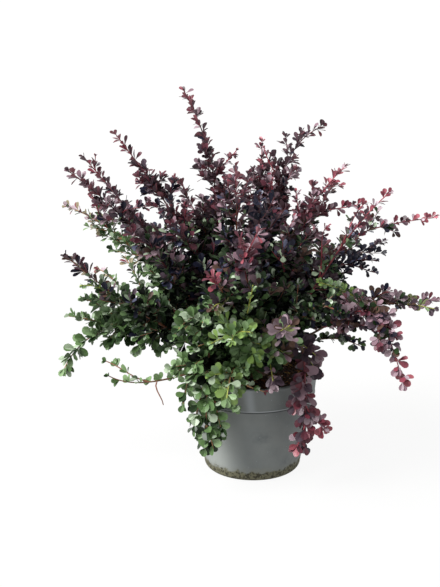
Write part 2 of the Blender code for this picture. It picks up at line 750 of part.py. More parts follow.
def make_canes(collection, bark, foliage, section, stump):
    """The bare boughs and the leafy stems of all canes, with the paths that the stems follow."""
    stump_tree = tree_of([stump])
    boughs = []
    stems = []
    paths = []
    for shoot, launch in zip(SHOOTS, spread_launches(SHOOTS)):
        path = cane_path(shoot, launch, cane_start(launch, stump, stump_tree))
        length = distances(path)[-1] - TIP_LEAF_REACH
        handover = shoot.bare if shoot.bough else 0.0
        start = 0.0
        if shoot.bough:
            joint = handover * length
            apart = joint_gap(path, joint, length, cane_radius(handover))
            points = stretch(path, 0.0, joint - 0.5 * apart, BOUGH_STEPS)
            radii = [cane_radius(handover * step / BOUGH_STEPS) for step in range(BOUGH_STEPS + 1)]
            boughs.append(limb(shoot.name + "_bough", points, radii, collection, bark))
            start = joint + 0.5 * apart
        points = stretch(path, start, length, STEM_STEPS)
        radii = [cane_radius(handover + (1.0 - handover) * step / STEM_STEPS) for step in range(STEM_STEPS + 1)]
        stems.append(limb(shoot.name + "_foliage", points, radii, collection, foliage, section))
        paths.append(points)
    return boughs, stems, paths


def build():
    """Makes the whole plant and its pot."""
    clear_scene()
    plant = new_collection("japanese_barberry")
    cutters = new_collection("cutters")
    cutters.hide_render = True
    guides = new_collection("guides")
    guides.hide_render = True
    plastic = make_material("pot_plastic", (0.23, 0.25, 0.25), 0.55)
    earth = make_material("soil", (0.05, 0.035, 0.025), 0.95)
    bark = make_material("bark", (0.16, 0.09, 0.06), 0.80)
    foliage = make_material("foliage", (0.13, 0.07, 0.09), 0.50)
    pot = make_pot(plant, cutters, plastic)
    soil = make_soil(plant, earth)
    stump = make_stump(plant, bark)
    section = make_section(guides)
    boughs, stems, paths = make_canes(plant, bark, foliage, section, stump)
    leaf_mesh = make_leaf_mesh(foliage)
    spaces = Spaces(paths)
    limbs_tree = tree_of([pot, soil, stump, *boughs])
    trees = [tree_of([stem]) for stem in stems]
    for number, (shoot, stem, path) in enumerate(zip(SHOOTS, stems, paths)):
        barriers = [limbs_tree, *trees[:number], *trees[number + 1 :]]
        mass = Mass(number, shoot, stem, leaf_mesh, section, spaces, barriers)
        if shoot.core > 0.0:
            mass.add_core(path, limbs_tree)
        mass.grow(path)
        mass.fuse()
        trees[number] = tree_of([stem])
    bpy.data.objects.remove(section, do_unlink=True)


build()
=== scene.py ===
# %% [markdown]
# Potted Japanese barberry: the looks.
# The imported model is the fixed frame. It has the pot, the soil, the stump, the boughs and 38 masses of
# foliage, each with a few large leaves. This script keeps every cane where that model has it, and dresses it:
# a moulded plastic pot, crumbly soil, woody canes, and more than twenty thousand small leaves on fine twigs.

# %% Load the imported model
import itertools
import json
import math
import random
from typing import NamedTuple

import bmesh
import bpy
import numpy as np
from mathutils import Matrix, Vector, noise
from mathutils.bvhtree import BVHTree

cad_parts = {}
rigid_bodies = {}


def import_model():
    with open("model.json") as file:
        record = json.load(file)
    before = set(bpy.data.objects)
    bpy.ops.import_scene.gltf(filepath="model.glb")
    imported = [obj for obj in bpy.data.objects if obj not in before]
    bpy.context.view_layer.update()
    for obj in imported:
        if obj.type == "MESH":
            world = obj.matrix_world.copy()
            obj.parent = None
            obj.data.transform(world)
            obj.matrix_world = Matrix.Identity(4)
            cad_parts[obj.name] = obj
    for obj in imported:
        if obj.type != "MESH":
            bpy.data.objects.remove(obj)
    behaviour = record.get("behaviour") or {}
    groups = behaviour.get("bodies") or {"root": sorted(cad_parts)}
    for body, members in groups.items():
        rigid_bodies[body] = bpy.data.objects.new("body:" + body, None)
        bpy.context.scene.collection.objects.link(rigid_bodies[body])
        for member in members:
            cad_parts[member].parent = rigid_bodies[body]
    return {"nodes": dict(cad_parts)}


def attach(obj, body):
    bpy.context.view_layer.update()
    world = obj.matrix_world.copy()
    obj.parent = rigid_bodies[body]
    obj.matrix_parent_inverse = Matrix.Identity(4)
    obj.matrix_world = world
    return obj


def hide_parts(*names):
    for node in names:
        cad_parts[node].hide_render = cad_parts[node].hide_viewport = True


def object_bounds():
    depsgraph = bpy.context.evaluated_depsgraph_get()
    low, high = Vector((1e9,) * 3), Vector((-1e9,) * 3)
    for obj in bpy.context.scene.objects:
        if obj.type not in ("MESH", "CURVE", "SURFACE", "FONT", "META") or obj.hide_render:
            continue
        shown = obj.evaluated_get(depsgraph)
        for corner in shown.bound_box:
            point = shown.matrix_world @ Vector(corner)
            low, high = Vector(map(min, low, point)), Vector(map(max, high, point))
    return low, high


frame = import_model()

CAD_LOW, CAD_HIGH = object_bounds()
print("nodes in the frame:", len(frame["nodes"]))
print("box of the frame in metres:", [round(high - low, 4) for low, high in zip(CAD_LOW, CAD_HIGH)])

# %% [markdown]
# The camera comes first, because everything else is judged through it. The photograph looks down on the pot
# by 16.5 degrees from about 1.8 m. Those values were worked out from the ellipses of the pot's rim and foot,
# so a long lens is used and no shift.

# %% Camera
CAMERA_PLACE = (-0.0511, -1.7259, 0.7885)
CAMERA_DOWN = math.radians(16.5)
CAMERA_LENS = 72.6


def place_in_scene(name, data):
    """A new object with this data, linked to the scene."""
    placed = bpy.data.objects.new(name, data)
    bpy.context.scene.collection.objects.link(placed)
    return placed


camera = place_in_scene("camera", bpy.data.cameras.new("camera"))
camera.location = CAMERA_PLACE
camera.rotation_euler = (math.pi / 2.0 - CAMERA_DOWN, 0.0, 0.0)
camera.data.lens = CAMERA_LENS
bpy.context.scene.camera = camera
print("camera stands", round(Vector(CAMERA_PLACE).length, 2), "m from the pot's foot")

# %% [markdown]
# Every surface gets a material made of nodes. What is the same all over a surface is set straight on the
# Principled shader. What changes over it comes from small node groups, so that one effect serves several
# materials.

# %% Helpers for materials
def from_screen(red, green, blue):
    """A colour as a screen shows it, from 0 to 255, turned into the linear values that shaders use."""
    return [((part / 255.0 + 0.055) / 1.055) ** 2.4 for part in (red, green, blue)] + [1.0]


def shader_input(material, label):
    """The named input of the material's Principled shader."""
    return material.node_tree.nodes["Principled BSDF"].inputs[label]


def feed_shader(material, label, output):
    """Links an output to the named input of the material's shader."""
    material.node_tree.links.new(output, shader_input(material, label))


def new_material(name, colour, roughness, specular):
    """A material with one Principled shader, whose plain values are set on its own sockets."""
    material = bpy.data.materials.new(name)
    material.use_nodes = True
    shader_input(material, "Base Color").default_value = from_screen(*colour)
    shader_input(material, "Roughness").default_value = roughness
    shader_input(material, "Specular IOR Level").default_value = specular
    return material


def add_node(tree, kind, links=None, **settings):
    """A node of this kind, with its settings, and its inputs linked or set by name or number."""
    node = tree.nodes.new(kind)
    for label, value in settings.items():
        setattr(node, label, value)
    for label, value in (links or {}).items():
        if isinstance(value, bpy.types.NodeSocket):
            tree.links.new(value, node.inputs[label])
        else:
            node.inputs[label].default_value = value
    return node


def calculate(tree, operation, *values):
    """The output of a Math node that works on these numbers or outputs."""
    return add_node(tree, "ShaderNodeMath", dict(enumerate(values)), operation=operation).outputs[0]


def ramp(tree, value, start, end, low=0.0, high=1.0, rate="LINEAR"):
    """An output that goes from low to high while the value goes from start to end."""
    links = {"Value": value, "From Min": start, "From Max": end, "To Min": low, "To Max": high}
    return add_node(tree, "ShaderNodeMapRange", links, interpolation_type=rate).outputs["Result"]


def object_place(tree):
    """The place on the object itself, in metres."""
    return add_node(tree, "ShaderNodeTexCoord").outputs["Object"]


def place_parts(tree):
    """The X, Y and Z of the place on the object, by name."""
    return add_node(tree, "ShaderNodeSeparateXYZ", {"Vector": object_place(tree)}).outputs


def clouds(tree, scale, detail, roughness=0.5):
    """Cloudy noise from 0 to 1, with about this many clouds a metre."""
    links = {"Vector": object_place(tree), "Scale": scale, "Detail": detail, "Roughness": roughness}
    return add_node(tree, "ShaderNodeTexNoise", links).outputs["Fac"]


def new_group(name, inputs, output):
    """A node group with named numbers as inputs and one output: the group, and the sockets inside it."""
    group = bpy.data.node_groups.new(name, "ShaderNodeTree")
    for label, value in inputs.items():
        socket = group.interface.new_socket(label, in_out="INPUT", socket_type="NodeSocketFloat")
        socket.default_value = value
    group.interface.new_socket(output, in_out="OUTPUT", socket_type="NodeSocketFloat")
    given = group.nodes.new("NodeGroupInput").outputs
    return group, given, group.nodes.new("NodeGroupOutput").inputs[output]


def use_group(material, group, **values):
    """Places a group in a material with its own values, and returns its output."""
    node = material.node_tree.nodes.new("ShaderNodeGroup")
    node.node_tree = group
    for label, value in values.items():
        node.inputs[label].default_value = value
    return node.outputs[0]


def mix_colours(material, mask, under, over):
    """A colour output: under where the mask is 0, over where it is 1, each a screen colour or an output."""
    mix = add_node(material.node_tree, "ShaderNodeMix", {"Factor": mask}, data_type="RGBA")
    colour_inputs = [socket for socket in mix.inputs if socket.type == "RGBA"]
    for socket, value in zip(colour_inputs, (under, over)):
        if isinstance(value, bpy.types.NodeSocket):
            material.node_tree.links.new(value, socket)
        else:
            socket.default_value = from_screen(*value)
    return next(socket for socket in mix.outputs if socket.type == "RGBA")


def lay_colours(material, colour, layers):
    """Lays (mask, colour) layers over a base colour, the last one on top, and feeds them to the shader."""
    for mask, over in layers:
        colour = mix_colours(material, mask, colour, over)
    feed_shader(material, "Base Color", colour)


# %% [markdown]
# Four effects are shared. Patches are soft clouds of dust, damp or fading. Specks are small hard spots of
# dirt. A tide mark is a band that climbs from the ground to a wavy edge. Grain is the fine unevenness that
# breaks up a highlight. All of them read the object's own coordinates, so they stay on the surface from every
# side.

# %% Shared effects
def make_patches():
    """Soft clouds: 0 below Start, 1 above End, at Scale clouds a metre."""
    group, given, mask = new_group("soft_patches", {"Scale": 30.0, "Start": 0.45, "End": 0.65}, "Mask")
    cloud = clouds(group, given["Scale"], detail=4.0, roughness=0.6)
    group.links.new(ramp(group, cloud, given["Start"], given["End"], rate="SMOOTHSTEP"), mask)
    return group


def make_specks():
    """Hard spots in a Share of the cells of a Voronoi pattern. Size is how far a spot reaches, in cells."""
    group, given, mask = new_group("hard_specks", {"Scale": 300.0, "Size": 0.25, "Share": 0.5}, "Mask")
    links = {"Vector": object_place(group), "Scale": given["Scale"]}
    cells = add_node(group, "ShaderNodeTexVoronoi", links).outputs
    near = calculate(group, "LESS_THAN", cells["Distance"], given["Size"])
    chance = add_node(group, "ShaderNodeSeparateColor", {"Color": cells["Color"]}).outputs["Red"]
    chosen = calculate(group, "LESS_THAN", chance, given["Share"])
    group.links.new(calculate(group, "MULTIPLY", near, chosen), mask)
    return group


def make_tide_mark():
    """A band from the ground up to Top, whose upper edge waves by Wave and fades over Fade, all in metres."""
    inputs = {"Top": 0.012, "Fade": 0.004, "Wave": 0.006, "Scale": 60.0}
    group, given, mask = new_group("tide_mark", inputs, "Mask")
    cloud = clouds(group, given["Scale"], detail=5.0, roughness=0.7)
    edge = calculate(group, "MULTIPLY_ADD", cloud, given["Wave"], given["Top"])
    full_below = calculate(group, "SUBTRACT", edge, given["Fade"])
    height = place_parts(group)["Z"]
    group.links.new(ramp(group, height, full_below, edge, 1.0, 0.0, "SMOOTHSTEP"), mask)
    return group


def make_grain():
    """Fine unevenness, as a height for a Bump node."""
    group, given, height = new_group("fine_grain", {"Scale": 900.0}, "Height")
    group.links.new(clouds(group, given["Scale"], detail=3.0), height)
    return group


SOFT_PATCHES = make_patches()
HARD_SPECKS = make_specks()
TIDE_MARK = make_tide_mark()
FINE_GRAIN = make_grain()


def add_grain(material, scale, strength, depth):
    """Gives a surface fine grain, this deep in metres, through a Bump node."""
    grain = use_group(material, FINE_GRAIN, Scale=scale)
    links = {"Height": grain, "Strength": strength, "Distance": depth}
    bump = add_node(material.node_tree, "ShaderNodeBump", links)
    feed_shader(material, "Normal", bump.outputs["Normal"])


print("shared effects:", [group.name for group in bpy.data.node_groups])

# %% [markdown]
# The studio is a plain pale floor under an even white sky, as for a catalogue picture. One large soft lamp
# stands on the left, a little in front. A sun lamp with a wide angle gives that without a bright edge. In the
# photograph the floor is almost white and its shadow is faint, but it throws little light back on the pot. A
# floor that glows more for the camera than for the plant gives both.

# %% Floor and light
WHITE = (1.0, 1.0, 1.0, 1.0)
FLOOR_REACH = 30.0
FLOOR_GREY = (63, 63, 62)
FLOOR_SEEN = 0.91
FLOOR_BOUNCE = 0.60
SKY_SEEN = 1.0
SKY_STRENGTH = 0.66
LAMP_STRENGTH = 5.6
LAMP_WIDTH = math.radians(34.0)
LAMP_TURN = (math.radians(45.0), 0.0, math.radians(-65.0))


def seen_or_lit(tree, seen, lit):
    """One number where the camera sees the surface itself, and another for the light that it gives."""
    path = add_node(tree, "ShaderNodeLightPath")
    return ramp(tree, path.outputs["Is Camera Ray"], 0.0, 1.0, lit, seen)


def make_floor():
    """A wide flat sheet of paper that glows a little."""
    paper = new_material("floor_paper", FLOOR_GREY, roughness=0.9, specular=0.1)
    shader_input(paper, "Emission Color").default_value = WHITE
    feed_shader(paper, "Emission Strength", seen_or_lit(paper.node_tree, FLOOR_SEEN, FLOOR_BOUNCE))
    mesh = bpy.data.meshes.new("floor")
    corners = [(-1, -1), (1, -1), (1, 1), (-1, 1)]
    mesh.from_pydata([(x * FLOOR_REACH, y * FLOOR_REACH, 0.0) for x, y in corners], [], [(0, 1, 2, 3)])
    mesh.materials.append(paper)
    return place_in_scene("floor", mesh)


def make_sky():
    """An even white sky."""
    world = bpy.data.worlds.new("studio")
    world.use_nodes = True
    sky = world.node_tree.nodes["Background"]
    sky.inputs["Color"].default_value = WHITE
    world.node_tree.links.new(seen_or_lit(world.node_tree, SKY_SEEN, SKY_STRENGTH), sky.inputs["Strength"])
    return world


floor = make_floor()
bpy.context.scene.world = make_sky()
lamp = place_in_scene("soft_lamp", bpy.data.lights.new("soft_lamp", "SUN"))
lamp.data.energy = LAMP_STRENGTH
lamp.data.angle = LAMP_WIDTH
lamp.rotation_euler = LAMP_TURN
bpy.context.scene.view_settings.view_transform = "Standard"
print("sky", SKY_STRENGTH, "and lamp", LAMP_STRENGTH)


# %% [markdown]
# Turned things, such as the pot, are one outline swept round the upright axis. A Screw modifier could do it.
# Here the rings are written out, because the soil and the stump are made the same way and then pushed about
# ring by ring.

# %% Helpers for meshes
def add_piece(name, mesh, materials, replaced=()):
    """Makes a piece of the object from a mesh: it rides with the plant and stands for the named CAD nodes."""
    for material in materials:
        mesh.materials.append(material)
    piece = place_in_scene(name, mesh)
    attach(piece, "root")
    if replaced:
        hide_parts(*replaced)
    print(f"{name}: {len(mesh.polygons)} faces")


def smooth(mesh, sharp_past):
    """Shades a mesh smooth, apart from edges that turn by more than this many degrees."""
    mesh.shade_smooth()
    mesh.set_sharp_from_angle(angle=math.radians(sharp_past))


def smooth_mesh(name, places, faces, slots, sharp_past):
    """A smooth mesh from its points, its faces and the material number of each face."""
    mesh = bpy.data.meshes.new(name)
    mesh.from_pydata(places, [], faces)
    mesh.polygons.foreach_set("material_index", slots)
    smooth(mesh, sharp_past)
    return mesh


def arc(radius, height, across, up, start, end, steps):
    """(radius, height) points on an ellipse about a centre, from one angle to another in degrees."""
    turns = [math.radians(start + (end - start) * step / steps) for step in range(steps + 1)]
    return [(radius + across * math.cos(turn), height + up * math.sin(turn)) for turn in turns]


def lathe(name, profile, sides, shape=None):
    """A closed mesh: the profile's (radius, height) points turned round Z. shape may move every point."""
    places = []
    rings = []
    for radius, height in profile:
        count = 1 if radius == 0.0 else sides
        rings.append(range(len(places), len(places) + count))
        for side in range(count):
            turn = math.tau * side / sides
            place = Vector((radius * math.cos(turn), radius * math.sin(turn), height))
            places.append(shape(place) if shape else place)
    faces = []
    for first, second in zip(rings, rings[1:] + rings[:1]):
        if len(first) == 1 and len(second) == 1:
            continue
        for side in range(sides):
            following = (side + 1) % sides
            corners = [first[side % len(first)], second[side % len(second)]]
            corners += [second[following % len(second)], first[following % len(first)]]
            faces.append(tuple(dict.fromkeys(corners)))
    mesh = bpy.data.meshes.new(name)
    mesh.from_pydata(places, [], faces)
    outward = bmesh.new()
    outward.from_mesh(mesh)
    bmesh.ops.recalc_face_normals(outward, faces=outward.faces)
    outward.to_mesh(mesh)
    outward.free()
    return mesh


# %% [markdown]
# The real pot is a 4 litre nursery pot, moulded in thin grey plastic: a bead along the rim, a wide collar
# that overhangs the body by a few millimetres, a tapering body and a rounded heel. The CAD model has 32 flat
# sides, which would show against the pale floor, so the same outline is turned again with many sides and
# round edges.

# %% The pot's shape
POT_HEIGHT = 0.160
POT_RIM_RADIUS = 0.0995
POT_BEAD = 0.0026
POT_BEAD_HEIGHT = 0.0020
POT_NECK_INSET = 0.0005
POT_NECK_DROP = 0.0065
POT_COLLAR_BOTTOM = 0.121
POT_COLLAR_RADIUS = 0.0960
POT_COLLAR_SWELL = 0.0002
POT_EDGE = 0.0009
POT_LIP = 0.0011
POT_NOOK_OUT = 0.0004
POT_NOOK_UP = 0.0006
POT_NOOK_DOWN = 0.0008
POT_BODY_TOP_RADIUS = 0.0935
POT_BELLY = 0.0003
POT_HEEL_RADIUS = 0.0755
POT_HEEL_HEIGHT = 0.007
POT_FOOT_RADIUS = 0.0695
POT_WALL = 0.0018
POT_INNER_HEEL_RISE = 0.001
POT_INNER_STEP = 0.0025
POT_INNER_RIM_DROP = 0.004
POT_SIDES = 144
POT_SHARP_PAST = 38.0
FOOT_RING = 0.004
FOOT_RECESS = 0.001
DRAIN_HOLES = 6
DRAIN_RADIUS = 0.0055
DRAIN_RING = 0.054
DRAIN_SIDES = 24
DRAIN_DRILL = 6 * POT_WALL

bead_height = POT_HEIGHT - POT_BEAD_HEIGHT
body_middle_radius = 0.5 * (POT_BODY_TOP_RADIUS + POT_HEEL_RADIUS)
heel_across = POT_HEEL_RADIUS - POT_FOOT_RADIUS
pot_outside = [
    *arc(POT_RIM_RADIUS, bead_height, POT_BEAD, POT_BEAD_HEIGHT, 110.0, -60.0, 10),
    (POT_RIM_RADIUS - POT_NECK_INSET, POT_HEIGHT - POT_NECK_DROP),
    (POT_COLLAR_RADIUS + POT_COLLAR_SWELL, POT_COLLAR_BOTTOM + 2.5 * POT_LIP),
    *arc(POT_COLLAR_RADIUS, POT_COLLAR_BOTTOM + POT_LIP, POT_EDGE, POT_LIP, 60.0, -90.0, 6),
    (POT_BODY_TOP_RADIUS + POT_NOOK_OUT, POT_COLLAR_BOTTOM + POT_NOOK_UP),
    (POT_BODY_TOP_RADIUS, POT_COLLAR_BOTTOM - POT_NOOK_DOWN),
    (body_middle_radius + POT_BELLY, 0.5 * POT_COLLAR_BOTTOM),
    *arc(POT_FOOT_RADIUS, POT_HEEL_HEIGHT, heel_across, POT_HEEL_HEIGHT, 0.0, -90.0, 6),
    (POT_FOOT_RADIUS - FOOT_RING, 0.0),
    (POT_FOOT_RADIUS - FOOT_RING - FOOT_RECESS, FOOT_RECESS),
    (0.0, FOOT_RECESS),
]
pot_inside_wall = [
    (POT_FOOT_RADIUS - POT_WALL, FOOT_RECESS + POT_WALL),
    (POT_HEEL_RADIUS - POT_WALL, POT_HEEL_HEIGHT + POT_INNER_HEEL_RISE),
    (POT_BODY_TOP_RADIUS - POT_WALL, POT_COLLAR_BOTTOM - POT_INNER_STEP),
    (POT_COLLAR_RADIUS - POT_WALL, POT_COLLAR_BOTTOM + POT_INNER_STEP),
]
pot_inside = [
    (0.0, FOOT_RECESS + POT_WALL),
    *pot_inside_wall,
    (POT_RIM_RADIUS - POT_WALL, POT_HEIGHT - POT_INNER_RIM_DROP),
]


def drain_drills():
    """A mesh of upright rods where the drain holes go."""
    drills = bmesh.new()
    rod = {"segments": DRAIN_SIDES, "radius1": DRAIN_RADIUS, "radius2": DRAIN_RADIUS, "depth": DRAIN_DRILL}
    for number in range(DRAIN_HOLES):
        turn = math.tau * (number + 0.5) / DRAIN_HOLES
        place = Vector((DRAIN_RING * math.cos(turn), DRAIN_RING * math.sin(turn), FOOT_RECESS))
        bmesh.ops.create_cone(drills, cap_ends=True, matrix=Matrix.Translation(place), **rod)
    mesh = bpy.data.meshes.new("drain_drills")
    drills.to_mesh(mesh)
    drills.free()
    return mesh


def drill_holes(mesh):
    """The mesh with the drain holes cut through its floor by a Boolean modifier."""
    cutter = place_in_scene("drain_drills", drain_drills())
    blank = place_in_scene("pot_blank", mesh)
    cut = blank.modifiers.new("drain_holes", "BOOLEAN")
    cut.operation = "DIFFERENCE"
    cut.object = cutter
    bpy.context.view_layer.update()
    drilled = bpy.data.meshes.new_from_object(blank.evaluated_get(bpy.context.evaluated_depsgraph_get()))
    for helper in (cutter, blank):
        bpy.data.objects.remove(helper)
    return drilled


pot_mesh = drill_holes(lathe("pot_shell", pot_outside + pot_inside, POT_SIDES))
smooth(pot_mesh, POT_SHARP_PAST)
print("pot:", POT_SIDES, "sides and", len(pot_outside), "points down its outside")

# %% [markdown]
# The plastic is a matte mid grey. It has lived outdoors: pale dust in clouds, a few darker rubbed smudges,
# small pale marks, and a band of dirt round the heel, olive and brown, where rain splashed soil. Light and
# shade are painted on as well: painted light on the side that faces the lamp, a painted highlight in a stripe
# down the collar and along the collar's lower lip, and a thin line of painted shade under the collar. The
# painted light and the stripe have a place, so they are worked out from the angle round the pot.

# %% The pot's finish
PLASTIC_GREY = (103, 108, 108)
PLASTIC_DUST = (116, 120, 118)
PLASTIC_SMUDGE = (86, 91, 92)
# Painted light: the side of the pot that faces the lamp is paler.
PLASTIC_PAINTED_LIGHT = (146, 150, 146)
# Pale marks, and a painted highlight in a stripe down the front of the collar.
PLASTIC_PALE_MARK_AND_HIGHLIGHT = (150, 156, 160)
# A painted highlight along the collar's lower lip.
PLASTIC_LIP_HIGHLIGHT = (176, 181, 184)
# Painted shade in a thin dark line under the collar's overhang.
PLASTIC_PAINTED_SHADE = (58, 62, 62)
PLASTIC_SPLASHED = (114, 116, 108)
DIRT_OLIVE = (98, 96, 76)
DIRT_DARK = (54, 52, 39)
PLASTIC_ROUGHNESS = 0.48
DIRT_ROUGHNESS = 0.85
# The painted highlight down the collar: its turn, width, slant and strength.
HIGHLIGHT_STRIPE_TURN = -1.62
HIGHLIGHT_STRIPE_WIDTH = 0.115
HIGHLIGHT_STRIPE_SLANT = 1.2
HIGHLIGHT_STRIPE_STRENGTH = 0.6
STRIPE_BOTTOM_FADE = 0.001
# Where the painted light on the lamp's side falls, how wide it is and how strong.
PAINTED_LIGHT_TURN = -2.42
PAINTED_LIGHT_WIDTH = 0.95
PAINTED_LIGHT_STRENGTH = 0.9
# Half the height of the line of painted shade under the collar.
SHADE_LINE_HALF_WIDTH = 0.0012


def distance_from(tree, value, middle):
    """How far a value is from a middle, either way."""
    return calculate(tree, "ABSOLUTE", calculate(tree, "SUBTRACT", value, middle))


def side_mask(material, turned, width, slant, strength, bottom):
    """Up to strength on an upright stripe round this turn of the pot, above a height, and 0 elsewhere."""
    tree = material.node_tree
    parts = place_parts(tree)
    turn = calculate(tree, "ARCTAN2", parts["Y"], parts["X"])
    slanted = calculate(tree, "MULTIPLY_ADD", parts["Z"], slant, turn)
    off = distance_from(tree, slanted, turned + slant * POT_COLLAR_BOTTOM)
    side = ramp(tree, off, 0.0, width, strength, 0.0, "SMOOTHSTEP")
    above = ramp(tree, parts["Z"], bottom - STRIPE_BOTTOM_FADE, bottom)
    return calculate(tree, "MULTIPLY", side, above)


def ring_mask(material, middle, half):
    """1 on a level ring round the pot, within half of a height, fading to 0 over as much again."""
    tree = material.node_tree
    off = distance_from(tree, place_parts(tree)["Z"], middle)
    return ramp(tree, off, half, 2.0 * half, 1.0, 0.0)


def make_pot_plastic():
    """The weathered grey plastic, with painted light and shade."""
    plastic = new_material("pot_plastic", PLASTIC_GREY, roughness=0.5, specular=0.4)
    dust = use_group(plastic, SOFT_PATCHES, Scale=14.0, Start=0.36, End=0.74)
    smudge = use_group(plastic, SOFT_PATCHES, Scale=21.0, Start=0.56, End=0.78)
    # Painted light on the side of the pot that faces the lamp.
    paler_mask = side_mask(plastic, PAINTED_LIGHT_TURN, PAINTED_LIGHT_WIDTH, 0.0, PAINTED_LIGHT_STRENGTH, 0.0)
    # A painted highlight: a pale stripe down the front of the collar.
    stripe = side_mask(plastic, HIGHLIGHT_STRIPE_TURN, HIGHLIGHT_STRIPE_WIDTH, HIGHLIGHT_STRIPE_SLANT, HIGHLIGHT_STRIPE_STRENGTH, POT_COLLAR_BOTTOM)
    marks = use_group(plastic, HARD_SPECKS, Scale=240.0, Size=0.12, Share=0.10)
    # A painted highlight on a ring along the collar's lower lip.
    lip_highlight = ring_mask(plastic, POT_COLLAR_BOTTOM + POT_LIP, 0.5 * POT_LIP)
    # Painted shade: a thin dark ring under the collar's overhang.
    under_collar_shade = ring_mask(plastic, POT_COLLAR_BOTTOM - POT_NOOK_DOWN, SHADE_LINE_HALF_WIDTH)
    splash = use_group(plastic, TIDE_MARK, Top=0.010, Fade=0.022, Wave=0.036, Scale=40.0)
    band = use_group(plastic, TIDE_MARK, Top=0.006, Fade=0.005, Wave=0.024, Scale=90.0)
    specks = use_group(plastic, SOFT_PATCHES, Scale=260.0, Start=0.48, End=0.56)
    layers = (
        (dust, PLASTIC_DUST),
        (smudge, PLASTIC_SMUDGE),
        (paler_mask, PLASTIC_PAINTED_LIGHT),
        (stripe, PLASTIC_PALE_MARK_AND_HIGHLIGHT),
        (marks, PLASTIC_PALE_MARK_AND_HIGHLIGHT),
        (lip_highlight, PLASTIC_LIP_HIGHLIGHT),
        (under_collar_shade, PLASTIC_PAINTED_SHADE),
        (splash, PLASTIC_SPLASHED),
        (band, mix_colours(plastic, specks, DIRT_OLIVE, DIRT_DARK)),
    )
    lay_colours(plastic, PLASTIC_GREY, layers)
    rough = ramp(plastic.node_tree, band, 0.0, 1.0, PLASTIC_ROUGHNESS, DIRT_ROUGHNESS)
    feed_shader(plastic, "Roughness", rough)
    add_grain(plastic, scale=700.0, strength=0.25, depth=0.0004)
    return plastic


add_piece("pot_shell", pot_mesh, [make_pot_plastic()], ["pot"])

# %% [markdown]
# Potting soil is peat with bits of bark, straw and a few pale granules. A flat brown disc reads as paint, so
# the surface is a fine mesh pushed up and down by noise, and several hundred crumbs and chips lie on it. They
# are one joined mesh, because hundreds of objects would only slow everything down.

# %% The soil's surface
SOIL_EDGE = 0.146
SOIL_TOP = 0.151
SOIL_GAP = 0.0003
SOIL_RINGS = 26
SOIL_SIDES = 96
SOIL_ROUGH = 0.0022
SOIL_SKIN = 0.001
SOIL_COARSE_SCALE = 90.0
SOIL_COARSE = 0.6
SOIL_FINE_SCALE = 330.0
SOIL_FINE = 0.5
SOIL_CALM_SHARE = 0.1
SOIL_SHARP_PAST = 60.0
STUMP_FLARE_RADIUS = 0.027
SOIL_FLAT = STUMP_FLARE_RADIUS + 0.002

wall_share = (SOIL_EDGE - POT_COLLAR_BOTTOM) / (POT_HEIGHT - POT_COLLAR_BOTTOM)
wall_radius = POT_COLLAR_RADIUS + (POT_RIM_RADIUS - POT_COLLAR_RADIUS) * wall_share
SOIL_RADIUS = wall_radius - POT_WALL - SOIL_GAP


def soil_height(x, y):
    """The height of the soil: a low mound, roughened by noise that dies away at the stump and the wall."""
    radius = math.hypot(x, y)
    share = min(max((radius - SOIL_FLAT) / (SOIL_RADIUS - SOIL_FLAT), 0.0), 1.0)
    mound = SOIL_EDGE + (SOIL_TOP - SOIL_EDGE) * (0.5 + 0.5 * math.cos(math.pi * share))
    calm = min(share / SOIL_CALM_SHARE, 1.0)
    coarse = noise.noise(Vector((x, y, 0.0)) * SOIL_COARSE_SCALE)
    fine = noise.noise(Vector((x, y, 0.3)) * SOIL_FINE_SCALE)
    return mound + calm * SOIL_ROUGH * (SOIL_COARSE * coarse + SOIL_FINE * fine)


def roughen(place):
    """Moves a point of the soil's upper side to the rough surface."""
    if place.z > SOIL_EDGE - SOIL_SKIN:
        place.z = soil_height(place.x, place.y)
    return place


soil_bottom = FOOT_RECESS + POT_WALL + SOIL_GAP
soil_profile = [(SOIL_RADIUS * step / SOIL_RINGS, SOIL_EDGE) for step in range(SOIL_RINGS + 1)]
for radius, height in reversed(pot_inside_wall):
    soil_profile.append((radius - SOIL_GAP, max(height, soil_bottom)))
soil_profile.append((0.0, soil_bottom))
soil_mesh = lathe("soil_bed", soil_profile, SOIL_SIDES, roughen)
smooth(soil_mesh, SOIL_SHARP_PAST)
print("soil surface:", round(SOIL_RADIUS * 2000.0), "mm across")

# %% Crumbs and chips on the soil
class CrumbKind(NamedTuple):
    """A kind of crumb: its colour, its share of them all, its sizes in metres and how it is stretched."""

    name: str
    colour: tuple
    share: float
    sizes: tuple
    stretches: tuple


CRUMB_KINDS = (
    CrumbKind("crumb_peat", (46, 33, 26), 0.50, (0.0010, 0.0028), (1.0, 0.8, 0.7)),
    CrumbKind("crumb_bark", (112, 68, 38), 0.30, (0.0016, 0.0042), (1.6, 0.7, 0.35)),
    CrumbKind("crumb_straw", (176, 140, 78), 0.10, (0.0020, 0.0050), (2.2, 0.35, 0.2)),
    CrumbKind("crumb_granule", (226, 214, 198), 0.10, (0.0008, 0.0018), (1.0, 0.9, 0.8)),
)
CRUMBS = 620
CRUMB_SEED = 40
CRUMB_DENTS = (0.75, 1.15)
CRUMB_TILT = 0.5
CRUMB_WALL_GAP = 0.004
CRUMB_LIFT = 0.25
CRUMB_SHARP_PAST = 40.0
print("crumbs:", CRUMBS, "of", len(CRUMB_KINDS), "kinds")


def crumb_form(draw):
    """A small irregular lump: an icosphere with each corner pulled in or out."""
    form = bmesh.new()
    bmesh.ops.create_icosphere(form, subdivisions=1, radius=1.0)
    for vert in form.verts:
        vert.co *= draw.uniform(*CRUMB_DENTS)
    places = np.array([vert.co for vert in form.verts])
    faces = np.array([[vert.index for vert in face.verts] for face in form.faces])
    form.free()
    return places, faces


